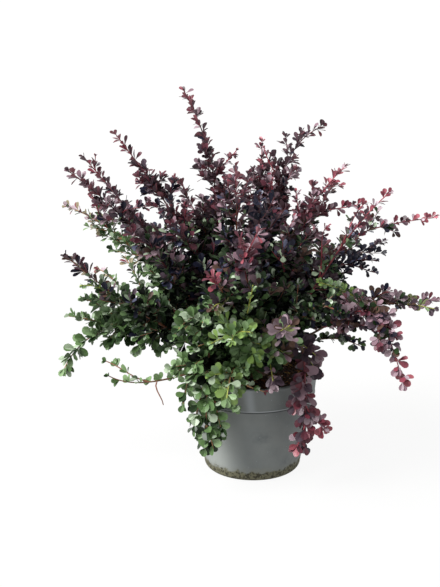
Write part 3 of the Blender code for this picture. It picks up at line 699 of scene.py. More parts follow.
def make_crumbs():
    """All crumbs as one mesh."""
    draw = random.Random(CRUMB_SEED)
    shares = [kind.share for kind in CRUMB_KINDS]
    places, faces, slots = [], [], []
    start = 0
    for _ in range(CRUMBS):
        slot = draw.choices(range(len(CRUMB_KINDS)), shares)[0]
        kind = CRUMB_KINDS[slot]
        size = draw.uniform(*kind.sizes)
        radius = SOIL_FLAT + (SOIL_RADIUS - SOIL_FLAT - CRUMB_WALL_GAP) * math.sqrt(draw.random())
        turn = draw.uniform(0.0, math.tau)
        x, y = radius * math.cos(turn), radius * math.sin(turn)
        tilt = Matrix.Rotation(draw.uniform(0.0, math.tau), 3, "Z")
        tilt = tilt @ Matrix.Rotation(draw.uniform(-CRUMB_TILT, CRUMB_TILT), 3, "X")
        form, form_faces = crumb_form(draw)
        moved = (form * np.array(kind.stretches) * size) @ np.array(tilt).T
        moved += (x, y, soil_height(x, y) + CRUMB_LIFT * size * kind.stretches[2])
        places.append(moved)
        faces.append(form_faces + start)
        slots += [slot] * len(form_faces)
        start += len(form)
    places, faces = np.concatenate(places).tolist(), np.concatenate(faces).tolist()
    return smooth_mesh("soil_crumbs", places, faces, slots, CRUMB_SHARP_PAST)


# %% The soil's finish
SOIL_DARK = (34, 24, 19)
SOIL_BROWN = (74, 48, 32)
SOIL_FIBRE = (128, 84, 50)
CRUMB_SHADE = 0.72


def make_soil_material():
    """Dark damp peat with browner patches and fibres."""
    soil = new_material("soil", SOIL_DARK, roughness=0.9, specular=0.2)
    patches = use_group(soil, SOFT_PATCHES, Scale=160.0, Start=0.45, End=0.65)
    fibres = use_group(soil, HARD_SPECKS, Scale=520.0, Size=0.30, Share=0.25)
    lay_colours(soil, SOIL_DARK, ((patches, SOIL_BROWN), (fibres, SOIL_FIBRE)))
    add_grain(soil, scale=1100.0, strength=0.8, depth=0.0010)
    return soil


def make_crumb_material(kind):
    """One kind of crumb, a little darker in patches."""
    crumb = new_material(kind.name, kind.colour, roughness=0.85, specular=0.25)
    patches = use_group(crumb, SOFT_PATCHES, Scale=420.0, Start=0.35, End=0.7)
    lay_colours(crumb, kind.colour, [(patches, [part * CRUMB_SHADE for part in kind.colour])])
    return crumb


add_piece("soil_bed", soil_mesh, [make_soil_material()], ["potting_soil"])
add_piece("soil_crumbs", make_crumbs(), [make_crumb_material(kind) for kind in CRUMB_KINDS])

# %% [markdown]
# Old barberry wood is grey-brown, with long shallow furrows and knobs where canes were cut. The stump is
# turned like the pot and then furrowed: the radius rises and falls round it, more at the foot, and noise
# breaks the furrows up.

# %% The stump
STUMP_NECK_RADIUS = 0.019
STUMP_NECK_HEIGHT = 0.008
STUMP_HEAD_RADIUS = 0.0205
STUMP_HEAD_HEIGHT = 0.016
STUMP_TOP = 0.036
STUMP_BASE = SOIL_TOP + SOIL_GAP
STUMP_SIDES = 72
STUMP_SHARP_PAST = 50.0
STUMP_INSET = 0.0010
FLARE_RINGS = ((0.6, 0.0012), (0.3, 0.0036))
FURROWS = 11
FURROW_DEPTH = 0.0008
FURROW_WANDER = 3.0
FURROW_WANDER_SCALE = 60.0
FURROW_AT_HEAD = 0.4
KNOB_DEPTH = 0.0016
KNOB_SCALE = 110.0


def furrow(place):
    """Moves a point of the stump in or out, for its furrows and knobs."""
    radius = math.hypot(place.x, place.y)
    if radius == 0.0:
        return place
    turn = math.atan2(place.y, place.x)
    foot = 1.0 - min((place.z - STUMP_BASE) / STUMP_TOP, 1.0)
    ridges = math.sin(FURROWS * turn + FURROW_WANDER * noise.noise(place * FURROW_WANDER_SCALE))
    push = FURROW_DEPTH * ridges * (FURROW_AT_HEAD + foot) + KNOB_DEPTH * noise.noise(place * KNOB_SCALE)
    place.x *= 1.0 + (push - STUMP_INSET) / radius
    place.y *= 1.0 + (push - STUMP_INSET) / radius
    return place


head_height = STUMP_BASE + STUMP_HEAD_HEIGHT
waist_radius = 0.5 * (STUMP_HEAD_RADIUS + STUMP_NECK_RADIUS)
stump_profile = [
    (0.0, STUMP_BASE + STUMP_TOP),
    *arc(0.0, head_height, STUMP_HEAD_RADIUS, STUMP_TOP - STUMP_HEAD_HEIGHT, 80.0, 0.0, 9),
    (waist_radius, STUMP_BASE + 0.5 * (STUMP_HEAD_HEIGHT + STUMP_NECK_HEIGHT)),
    (STUMP_NECK_RADIUS, STUMP_BASE + STUMP_NECK_HEIGHT),
    *((STUMP_NECK_RADIUS + flare, STUMP_BASE + share * STUMP_NECK_HEIGHT) for share, flare in FLARE_RINGS),
    (STUMP_FLARE_RADIUS, STUMP_BASE),
    (0.0, STUMP_BASE),
]
stump_mesh = lathe("stump_wood", stump_profile, STUMP_SIDES, furrow)
smooth(stump_mesh, STUMP_SHARP_PAST)
print("stump:", STUMP_SIDES, "sides and", len(stump_profile), "points down it")

# %% The finish of old wood
WOOD_BROWN = (104, 82, 62)
WOOD_GREY = (138, 124, 106)
WOOD_DARK = (58, 42, 32)


def make_old_wood():
    """Grey-brown bark with darker cracks."""
    wood = new_material("old_wood", WOOD_BROWN, roughness=0.8, specular=0.3)
    paler_mask = use_group(wood, SOFT_PATCHES, Scale=140.0, Start=0.45, End=0.7)
    cracks = use_group(wood, SOFT_PATCHES, Scale=420.0, Start=0.56, End=0.64)
    lay_colours(wood, WOOD_BROWN, ((paler_mask, WOOD_GREY), (cracks, WOOD_DARK)))
    add_grain(wood, scale=800.0, strength=0.7, depth=0.0006)
    return wood


OLD_WOOD = make_old_wood()
add_piece("stump_wood", stump_mesh, [OLD_WOOD], ["stump"])


# %% [markdown]
# Every cane is one Bezier curve from the stump to its tip. This table is the same as in the part's source,
# because the leaves have to grow where the solids are. Three columns are new: the tint of the shoot's leaves,
# their length, and how many of its nodes carry a twig. In the photograph the upper shoots are wine purple,
# the ones that hang on the left are green, and a few tips are still red from their spring growth.

# %% The canes
class Shoot(NamedTuple):
    """One cane. Angles are in degrees and lengths in metres.

    azimuth, reach and height place its tip. launch and finish are its angles above level at both ends, and
    arch is how far it holds them. bare is the share without foliage, and girth is how far its twigs stand out
    where the foliage starts. tint names its colours, leaf is the length of its longest leaves, and twigs is
    the share of its nodes that may carry a side twig.
    """

    name: str
    azimuth: float
    reach: float
    height: float
    launch: float
    finish: float
    arch: float
    bare: float
    girth: float
    tint: str
    leaf: float
    twigs: float


SHOOTS = (
    Shoot("top_spire", 159, 0.115, 0.583, 60, 58, 0.44, 0.24, 0.050, "wine", 0.020, 1.0),
    Shoot("centre_spire", 78, 0.062, 0.504, 86, 84, 0.36, 0.10, 0.050, "rose", 0.019, 1.0),
    Shoot("right_spire", 39, 0.142, 0.519, 76, 6, 0.36, 0.26, 0.050, "wine", 0.020, 0.9),
    Shoot("right_upper", 356, 0.135, 0.477, 68, 46, 0.48, 0.16, 0.050, "rose", 0.020, 1.0),
    Shoot("right_long", 337, 0.207, 0.452, 55, 44, 0.36, 0.28, 0.052, "rose", 0.018, 0.4),
    Shoot("right_back", 23, 0.228, 0.339, 62, 20, 0.38, 0.18, 0.052, "night", 0.018, 1.0),
    Shoot("right_far_high", 25, 0.332, 0.364, 60, 0, 0.58, 0.26, 0.054, "rose", 0.018, 0.3),
    Shoot("right_far_low", 360, 0.281, 0.267, 56, 6, 0.54, 0.25, 0.054, "plum", 0.023, 1.0),
    Shoot("right_droop", 319, 0.272, 0.196, 52, -70, 0.70, 0.36, 0.046, "russet", 0.018, 0.9),
    Shoot("right_front_pendant", 303, 0.136, 0.070, 52, -88, 0.90, 0.46, 0.032, "plum_red", 0.023, 0.4),
    Shoot("left_front_pendant", 238, 0.136, 0.068, 52, -88, 0.90, 0.46, 0.034, "moss", 0.021, 1.0),
    Shoot("left_droop", 176, 0.298, 0.144, 54, -66, 0.43, 0.28, 0.052, "grey_green", 0.021, 1.0),
    Shoot("left_low", 205, 0.240, 0.184, 26, 38, 0.34, 0.32, 0.034, "green", 0.016, 0.2),
    Shoot("left_mid", 200, 0.291, 0.365, 34, 44, 0.42, 0.25, 0.054, "bronze", 0.024, 1.0),
    Shoot("left_high_green", 160, 0.316, 0.391, 44, 15, 0.38, 0.26, 0.054, "olive", 0.018, 1.0),
    Shoot("left_purple_low", 199, 0.281, 0.485, 56, 38, 0.36, 0.28, 0.052, "wine", 0.021, 1.0),
    Shoot("left_purple_high", 159, 0.284, 0.471, 64, 46, 0.36, 0.20, 0.050, "wine", 0.020, 1.0),
    Shoot("left_spire", 172, 0.211, 0.519, 72, 52, 0.36, 0.26, 0.052, "ink", 0.021, 1.0),
    Shoot("back_left_high", 126, 0.215, 0.425, 62, 40, 0.38, 0.26, 0.055, "wine", 0.020, 0.9),
    Shoot("top_fork", 256, 0.122, 0.499, 72, 86, 0.42, 0.12, 0.052, "claret", 0.020, 1.0),
    Shoot("back_right_high", 52, 0.215, 0.410, 62, 38, 0.38, 0.26, 0.055, "dusk", 0.020, 0.9),
    Shoot("back_left_far", 140, 0.285, 0.320, 44, 18, 0.40, 0.25, 0.055, "bronze", 0.020, 0.9),
    Shoot("back_far", 107, 0.290, 0.315, 46, 12, 0.40, 0.25, 0.055, "dusk", 0.020, 0.9),
    Shoot("back_right_far", 66, 0.285, 0.305, 46, 10, 0.40, 0.25, 0.055, "plum", 0.020, 0.9),
    Shoot("centre_red", 262, 0.172, 0.409, 68, 72, 0.36, 0.08, 0.058, "claret", 0.026, 1.0),
    Shoot("front_red", 255, 0.245, 0.373, 54, 34, 0.38, 0.08, 0.060, "ember", 0.022, 1.0),
    Shoot("front_green", 261, 0.232, 0.278, 44, -6, 0.42, 0.10, 0.054, "lime", 0.026, 1.0),
    Shoot("front_left_green", 240, 0.230, 0.275, 40, -28, 0.44, 0.10, 0.056, "moss", 0.017, 1.0),
    Shoot("front_right_purple", 280, 0.243, 0.305, 48, 26, 0.38, 0.10, 0.056, "dusky_plum", 0.028, 1.0),
    Shoot("right_front_dark", 303, 0.216, 0.300, 40, -14, 0.42, 0.10, 0.056, "shade", 0.014, 0.5),
    Shoot("front_low_left", 226, 0.152, 0.135, 36, -80, 0.60, 0.16, 0.046, "green", 0.018, 1.0),
    Shoot("front_low_middle", 254, 0.152, 0.158, 38, -66, 0.52, 0.16, 0.046, "lime", 0.020, 1.0),
    Shoot("front_low_right", 280, 0.148, 0.180, 38, -50, 0.48, 0.16, 0.046, "dusky_plum", 0.020, 0.0),
    Shoot("right_low", 4, 0.172, 0.186, 28, -30, 0.44, 0.16, 0.042, "shade", 0.014, 0.3),
    Shoot("left_inner", 155, 0.100, 0.395, 72, 60, 0.36, 0.10, 0.060, "dusk", 0.019, 1.0),
    Shoot("back_low", 84, 0.225, 0.205, 34, -34, 0.44, 0.14, 0.052, "grey_green", 0.021, 1.0),
    Shoot("back_right_low", 38, 0.225, 0.230, 36, -22, 0.44, 0.14, 0.052, "shade", 0.020, 1.0),
    Shoot("back_left_low", 134, 0.230, 0.215, 34, -30, 0.44, 0.14, 0.052, "green", 0.021, 1.0),
)
print("canes:", len(SHOOTS))

# %% The cane's rule, as in the source
CANE_CENTRE = Vector((0.0, 0.0, head_height))
CANE_RADIUS = 0.0024
LAUNCH_APART = math.radians(21.0)
LAUNCH_LOWEST = math.radians(8.0)
LAUNCH_PUSH = 0.25
LAUNCH_ROUNDS = 60
BEZIER_STEPS = 60
UPWARD = Vector((0.0, 0.0, 1.0))
NEARLY_ALONG = 0.05
RIM_POINTS = 12
SMALLEST_ANGLE = 0.01
SMALLEST_SPAN = 1e-9


def direction(azimuth, angle):
    """The unit vector at this azimuth and this angle above level, both in degrees."""
    turn = math.radians(azimuth)
    rise = math.radians(angle)
    return Vector((math.cos(turn) * math.cos(rise), math.sin(turn) * math.cos(rise), math.sin(rise)))


def push_apart(launches, first, second):
    """Turns two launches away from each other if they are too close."""
    between = launches[first].angle(launches[second])
    if between < LAUNCH_APART:
        strength = LAUNCH_PUSH * (LAUNCH_APART - between) / max(between, SMALLEST_ANGLE)
        push = (launches[first] - launches[second]) * strength
        launches[first] = launches[first] + push
        launches[second] = launches[second] - push


def spread_launches(shoots):
    """The directions in which the canes leave the stump, pushed apart until each has room of its own."""
    launches = [direction(shoot.azimuth, shoot.launch) for shoot in shoots]
    for _ in range(LAUNCH_ROUNDS):
        for first, second in itertools.combinations(range(len(launches)), 2):
            push_apart(launches, first, second)
        for number, launch in enumerate(launches):
            launch.z = max(launch.z, math.sin(LAUNCH_LOWEST))
            launches[number] = launch.normalized()
    return launches


def around(axis, turn):
    """A unit vector square to the axis, at this turn round it."""
    aside = axis.cross(UPWARD)
    if aside.length < NEARLY_ALONG:
        aside = axis.cross(Vector((0.0, 1.0, 0.0)))
    aside.normalize()
    return aside * math.cos(turn) + axis.cross(aside) * math.sin(turn)


stump_node = frame["nodes"]["stump"].data
STUMP_TREE = BVHTree.FromPolygons(
    [vert.co.copy() for vert in stump_node.vertices],
    [tuple(face.vertices) for face in stump_node.polygons],
)


def cane_start(launch):
    """Where a cane leaves the stump of the frame, its whole rim counted."""
    turns = [math.radians(360.0 / RIM_POINTS * corner) for corner in range(RIM_POINTS)]
    rim = [around(launch, turn) * CANE_RADIUS for turn in turns]
    hits = [STUMP_TREE.ray_cast(CANE_CENTRE + offset, launch)[3] for offset in (Vector(), *rim)]
    return CANE_CENTRE + launch * max(hit for hit in hits if hit is not None)


def tip_of(branch):
    """The place of the tip of a cane or fork."""
    turn = math.radians(branch.azimuth)
    return Vector((branch.reach * math.cos(turn), branch.reach * math.sin(turn), branch.height))


def bezier(start, leaving, arriving, end):
    """Many points along the Bezier curve that has these two ends and two handles."""
    path = []
    for step in range(BEZIER_STEPS + 1):
        t = step / BEZIER_STEPS
        u = 1.0 - t
        path.append(u**3 * start + 3.0 * u * u * t * leaving + 3.0 * u * t * t * arriving + t**3 * end)
    return path


def cane_path(shoot, launch):
    """Many points along a cane, from the stump to the tip, with its direction given at both ends."""
    start = cane_start(launch)
    tip = tip_of(shoot)
    hold = shoot.arch * (tip - start).length
    return bezier(start, start + launch * hold, tip - direction(shoot.azimuth, shoot.finish) * hold, tip)


def distances(path):
    """How far along the path each of its points lies."""
    along = [0.0]
    for first, second in zip(path, path[1:]):
        along.append(along[-1] + (second - first).length)
    return along


def point_at(path, along, distance):
    """(point, direction) at this distance along the path."""
    number = 1
    while along[number] < distance and number < len(path) - 1:
        number += 1
    span = path[number] - path[number - 1]
    share = (distance - along[number - 1]) / max(span.length, SMALLEST_SPAN)
    return path[number - 1] + span * share, span.normalized()


CANE_PATHS = [cane_path(shoot, launch) for shoot, launch in zip(SHOOTS, spread_launches(SHOOTS))]
print("cane lengths in mm:", [round(1000.0 * distances(path)[-1]) for path in CANE_PATHS])

# %% [markdown]
# Most side twigs can be left to the growing rule. Some in the photograph are long enough to have a shape of
# their own, such as the small shoots that stand up inside the crown. They are listed as forks. Each leaves
# its parent cane part of the way along and bends to a tip whose place is given. It grows leaves like a cane,
# and hardly any twigs of its own.


# %% Forks
class Fork(NamedTuple):
    """A side shoot: it leaves its parent at this share of its length. A leaf length of 0 leaves it bare."""

    parent: str
    share: float
    azimuth: float
    reach: float
    height: float
    finish: float
    tint: str
    leaf: float


FORKS = (
    Fork("top_spire", 0.65, 134, 0.035, 0.496, 60, "rose", 0.013),
    Fork("top_spire", 0.52, 165, 0.044, 0.456, 78, "wine", 0.016),
    Fork("top_fork", 0.75, 264, 0.106, 0.484, 84, "wine", 0.015),
    Fork("top_fork", 0.70, 248, 0.109, 0.472, 80, "wine", 0.015),
    Fork("right_spire", 0.66, 67, 0.038, 0.498, 86, "rose", 0.014),
    Fork("right_spire", 0.55, 359, 0.026, 0.455, 84, "rose", 0.015),
    Fork("centre_spire", 0.69, 43, 0.030, 0.459, 80, "rose", 0.014),
    Fork("centre_spire", 0.63, 158, 0.012, 0.454, 80, "wine", 0.015),
    Fork("left_spire", 0.53, 188, 0.102, 0.417, 76, "ink", 0.018),
    Fork("right_upper", 0.63, 325, 0.072, 0.446, 80, "rose", 0.015),
    Fork("right_upper", 0.67, 357, 0.166, 0.421, 22, "rose", 0.015),
    Fork("left_purple_high", 0.92, 159, 0.263, 0.476, 62, "rose", 0.011),
    Fork("left_purple_low", 0.74, 210, 0.173, 0.441, 66, "wine", 0.016),
    Fork("left_high_green", 0.79, 165, 0.263, 0.424, 50, "rose", 0.012),
    Fork("right_long", 0.63, 354, 0.166, 0.423, 20, "rose", 0.015),
    Fork("right_long", 0.45, 330, 0.120, 0.395, 20, "rose", 0.018),
    Fork("right_upper", 0.40, 345, 0.070, 0.400, 20, "rose", 0.018),
    Fork("right_back", 0.72, 12, 0.198, 0.319, 10, "night", 0.014),
    Fork("right_back", 0.69, 11, 0.198, 0.299, 0, "night", 0.014),
    Fork("left_mid", 0.51, 186, 0.238, 0.325, 15, "olive", 0.015),
    Fork("left_mid", 0.42, 181, 0.196, 0.337, 40, "olive", 0.018),
    Fork("left_mid", 0.71, 200, 0.269, 0.316, -6, "lime", 0.013),
    Fork("left_droop", 0.59, 181, 0.286, 0.243, 8, "grey_green", 0.020),
    Fork("left_droop", 0.50, 180, 0.234, 0.276, 5, "grey_green", 0.021),
    Fork("left_droop", 0.55, 178, 0.265, 0.266, 5, "grey_green", 0.022),
    Fork("left_low", 0.68, 194, 0.233, 0.190, 12, "green", 0.016),
    Fork("left_low", 0.63, 211, 0.158, 0.128, -80, "shade", 0.0),
    Fork("right_far_low", 0.78, 356, 0.277, 0.258, -8, "dusky_plum", 0.018),
    Fork("right_far_low", 0.54, 315, 0.128, 0.321, 20, "lime", 0.015),
    Fork("front_low_middle", 0.68, 279, 0.107, 0.158, -20, "olive", 0.012),
    Fork("left_front_pendant", 0.69, 257, 0.112, 0.133, -30, "grey_green", 0.016),
    Fork("left_front_pendant", 0.50, 247, 0.123, 0.090, -80, "moss", 0.018),
    Fork("left_front_pendant", 0.52, 231, 0.144, 0.100, -80, "moss", 0.019),
    Fork("left_front_pendant", 0.84, 243, 0.134, 0.074, -80, "moss", 0.021),
    Fork("left_front_pendant", 0.42, 226, 0.138, 0.160, -80, "green", 0.018),
    Fork("right_front_pendant", 0.26, 321, 0.120, 0.178, -50, "lilac", 0.024),
    Fork("right_front_pendant", 0.22, 316, 0.128, 0.206, -30, "lilac", 0.025),
    Fork("right_front_pendant", 0.62, 296, 0.128, 0.134, -40, "plum_red", 0.021),
    Fork("right_front_pendant", 0.74, 312, 0.158, 0.104, -30, "red", 0.020),
    Fork("right_front_pendant", 0.86, 297, 0.132, 0.072, -60, "red", 0.020),
    Fork("right_droop", 0.66, 322, 0.252, 0.262, -30, "plum_red", 0.019),
    Fork("right_far_low", 0.60, 352, 0.204, 0.288, 10, "plum", 0.023),
    Fork("front_green", 0.80, 268, 0.222, 0.288, 5, "lime", 0.025),
    Fork("front_green", 0.55, 268, 0.190, 0.345, 60, "lime", 0.013),
    Fork("front_red", 0.60, 253, 0.209, 0.316, -10, "dusky_plum", 0.024),
    Fork("centre_red", 0.80, 271, 0.165, 0.418, 60, "red", 0.025),
    Fork("centre_red", 0.72, 264, 0.195, 0.385, 30, "plum_red", 0.026),
    Fork("top_fork", 0.55, 285, 0.105, 0.452, 70, "night", 0.022),
    Fork("top_fork", 0.48, 300, 0.090, 0.432, 60, "night", 0.022),
    Fork("centre_spire", 0.50, 275, 0.060, 0.445, 80, "night", 0.022),
    Fork("front_green", 0.80, 254, 0.226, 0.272, -5, "lime", 0.024),
)
FORK_ARCH = 0.36
FORK_BARE = 0.12


def fork_path(fork, parent_path):
    """Points along a fork, which leaves between its parent's direction and its own and ends at its finish."""
    along = distances(parent_path)
    start, axis = point_at(parent_path, along, fork.share * along[-1])
    tip = tip_of(fork)
    span = tip - start
    hold = FORK_ARCH * span.length
    leaving = start + (axis + span.normalized()).normalized() * hold
    arriving = tip - direction(math.degrees(math.atan2(span.y, span.x)), fork.finish) * hold
    return bezier(start, leaving, arriving, tip)


PARENTS = {shoot.name: (shoot, path) for shoot, path in zip(SHOOTS, CANE_PATHS)}
FORK_PATHS = [fork_path(fork, PARENTS[fork.parent][1]) for fork in FORKS]
print("fork lengths in mm:", [round(1000.0 * distances(path)[-1]) for path in FORK_PATHS])

# %% [markdown]
# The wood of a cane changes with age: the foot has furrowed grey-brown bark, the middle is smooth tan or
# reddish brown, and the young end is red, or yellow-green in the shade. A curve object with a bevel would
# give smooth pipes, so the tubes are built ring by ring, with furrows and uneven swellings. Their colour
# changes at rings.

# %% Stem colours
STEM_TINTS = {
    "bark": (112, 84, 62),
    "bronze": (126, 78, 58),
    "tan": (164, 122, 84),
    "red": (112, 44, 52),
    "wine": (84, 38, 42),
    "pink": (150, 64, 74),
    "lime": (164, 168, 78),
}
STEM_COAT = 0.08


def make_stem_material(name, colour):
    """The smooth skin of a young stem."""
    stem = new_material("stem_" + name, colour, roughness=0.5, specular=0.45)
    shader_input(stem, "Coat Weight").default_value = STEM_COAT
    return stem


STEM_MATERIALS = [OLD_WOOD] + [make_stem_material(name, colour) for name, colour in STEM_TINTS.items()]
STEM_SLOTS = {name: slot for slot, name in enumerate(["old", *STEM_TINTS])}
print("stem materials:", len(STEM_MATERIALS))


# %% Tubes for stems
TUBE_RIDGES = 4.0
TUBE_KNOBS = 1.5
TUBE_KNOB_SCALE = 150.0
TUBE_KNOB_REACH = 0.01
TUBE_SHARP_PAST = 60.0


class Tubes:
    """Many stems that grow into one mesh."""

    def __init__(self):
        self.places = []
        self.faces = []
        self.slots = []

    def add_ring(self, point, axis, radius, sides, furrows):
        """Adds a ring of points round the axis, in and out by the furrows."""
        for side in range(sides):
            turn = math.tau * side / sides
            out = around(axis, turn)
            knobs = noise.noise((point + out * TUBE_KNOB_REACH) * TUBE_KNOB_SCALE)
            ridge = furrows * (math.sin(TUBE_RIDGES * turn) + TUBE_KNOBS * knobs)
            self.places.append(point + out * radius * (1.0 + ridge))

    def add(self, points, radii, sides, tints, furrows=0.0):
        """Adds a closed tube along the points. tints names the colour of each stretch between two rings."""
        start = len(self.places)
        for number, (point, radius) in enumerate(zip(points, radii)):
            before = points[max(number - 1, 0)]
            after = points[min(number + 1, len(points) - 1)]
            self.add_ring(point, (after - before).normalized(), radius, sides, furrows)
        for ring, tint in enumerate(tints):
            for side in range(sides):
                low = start + ring * sides
                following = (side + 1) % sides
                self.faces.append((low + side, low + following, low + sides + following, low + sides + side))
                self.slots.append(STEM_SLOTS[tint])
        last = start + (len(points) - 1) * sides
        self.faces.append(tuple(range(start + sides - 1, start - 1, -1)))
        self.faces.append(tuple(range(last, last + sides)))
        self.slots += [STEM_SLOTS[tints[0]], STEM_SLOTS[tints[-1]]]

    def mesh(self, name):
        """The joined mesh."""
        return smooth_mesh(name, self.places, self.faces, self.slots, TUBE_SHARP_PAST)


# %% [markdown]
# A barberry leaf is shaped like a spoon: a long narrow base, widest near its rounded tip, 1 to 2.8 cm long.
# Leaves on the green, shaded shoots are rounder, and the largest ones are long paddles. Each leaf is a closed
# form of a few faces: folded a little along its rib, bent back at the tip, with an upper and a paler lower
# side that share the outline. One flat card would look the same from both sides, and the real leaf is paler
# below.

# %% Leaf shapes
class LeafForm(NamedTuple):
    """A leaf of unit length along +X: its points, its triangles, and which of them are on the upper side."""

    points: np.ndarray
    faces: np.ndarray
    is_upper: np.ndarray


OUTLINES = {
    "spoon": ((0.28, 0.075), (0.54, 0.215), (0.78, 0.265), (0.95, 0.160)),
    "oval": ((0.26, 0.090), (0.50, 0.245), (0.75, 0.290), (0.94, 0.180)),
    "round": ((0.22, 0.105), (0.46, 0.290), (0.72, 0.340), (0.93, 0.215)),
    "paddle": ((0.28, 0.060), (0.54, 0.165), (0.78, 0.222), (0.94, 0.145)),
}
FOLDS = (0.10, 0.25, 0.42)
BENDS = (0.04, 0.15)
LEAF_THICKNESS = 0.022


def leaf_form(stations, fold, bend):
    """Builds a leaf from (distance along, half width) stations, a fold at its rib and a bend at its tip."""
    root, tip = 0, 1
    points = [(0.0, 0.0, 0.0), (1.0, 0.0, -bend)]
    left, right, rib, keel = [], [], [], []
    for along, half in stations:
        sag = -bend * along * along
        for line, y, z in (
            (left, half, sag + fold * half),
            (right, -half, sag + fold * half),
            (rib, 0.0, sag),
            (keel, 0.0, sag - LEAF_THICKNESS),
        ):
            line.append(len(points))
            points.append((along, y, z))
    faces = []
    is_upper = []
    for middle, is_top in ((rib, True), (keel, False)):
        for edge, is_left in ((left, True), (right, False)):
            strip = [(root, root), *zip(middle, edge), (tip, tip)]
            for (middle_a, edge_a), (middle_b, edge_b) in itertools.pairwise(strip):
                for corners in ((middle_a, middle_b, edge_b), (middle_a, edge_b, edge_a)):
                    if len(set(corners)) == 3:
                        faces.append(corners if is_left == is_top else corners[::-1])
                        is_upper.append(is_top)
    return LeafForm(np.array(points), np.array(faces), np.array(is_upper))


LEAF_FORMS = {
    (outline, fold, bend): leaf_form(stations, fold, bend)
    for outline, stations in OUTLINES.items()
    for fold in FOLDS
    for bend in BENDS
}
FORMS_OF_OUTLINE = {outline: [key for key in LEAF_FORMS if key[0] == outline] for outline in OUTLINES}
print("leaf forms:", len(LEAF_FORMS), "with", len(next(iter(LEAF_FORMS.values())).faces), "triangles each")

# %% [markdown]
# Leaf colours are a named palette. Each tone is a plain colour, and rosettes draw from the tones of their
# shoot: deep green where the crown shades them, wine and plum in the light, red at the youngest tips. A
# texture over the whole crown could not follow single leaves.

# %% Leaf colours
LEAF_TONES = {
    "wine_black": ((28, 16, 20), "lilac"),
    "wine_dark": ((52, 30, 37), "lilac"),
    "wine": ((92, 50, 60), "rosy"),
    "plum_black": ((24, 22, 32), "lilac"),
    "plum": ((76, 62, 72), "lilac"),
    "blue_black": ((26, 27, 42), "lilac"),
    "slate": ((70, 72, 92), "lilac"),
    "dusty": ((126, 100, 110), "lilac"),
    "mauve": ((146, 126, 134), "lilac"),
    "pale": ((188, 170, 178), "lilac"),
    "claret": ((122, 58, 70), "rosy"),
    "red": ((142, 72, 82), "rosy"),
    "pink": ((176, 100, 112), "rosy"),
    "brown": ((80, 60, 52), "lilac"),
    "olive": ((98, 104, 66), "sage"),
    "tan": ((140, 131, 106), "sage"),
    "green_black": ((10, 15, 9), "shade"),
    "green_deep": ((34, 51, 28), "sage"),
    "green": ((81, 107, 64), "sage"),
    "green_light": ((118, 144, 100), "sage"),
    "green_grey": ((152, 168, 142), "sage"),
    "lime": ((112, 138, 72), "sage"),
}
UNDERSIDES = {
    "lilac": (104, 84, 92),
    "rosy": (140, 90, 98),
    "sage": (108, 128, 96),
    "shade": (26, 36, 24),
}
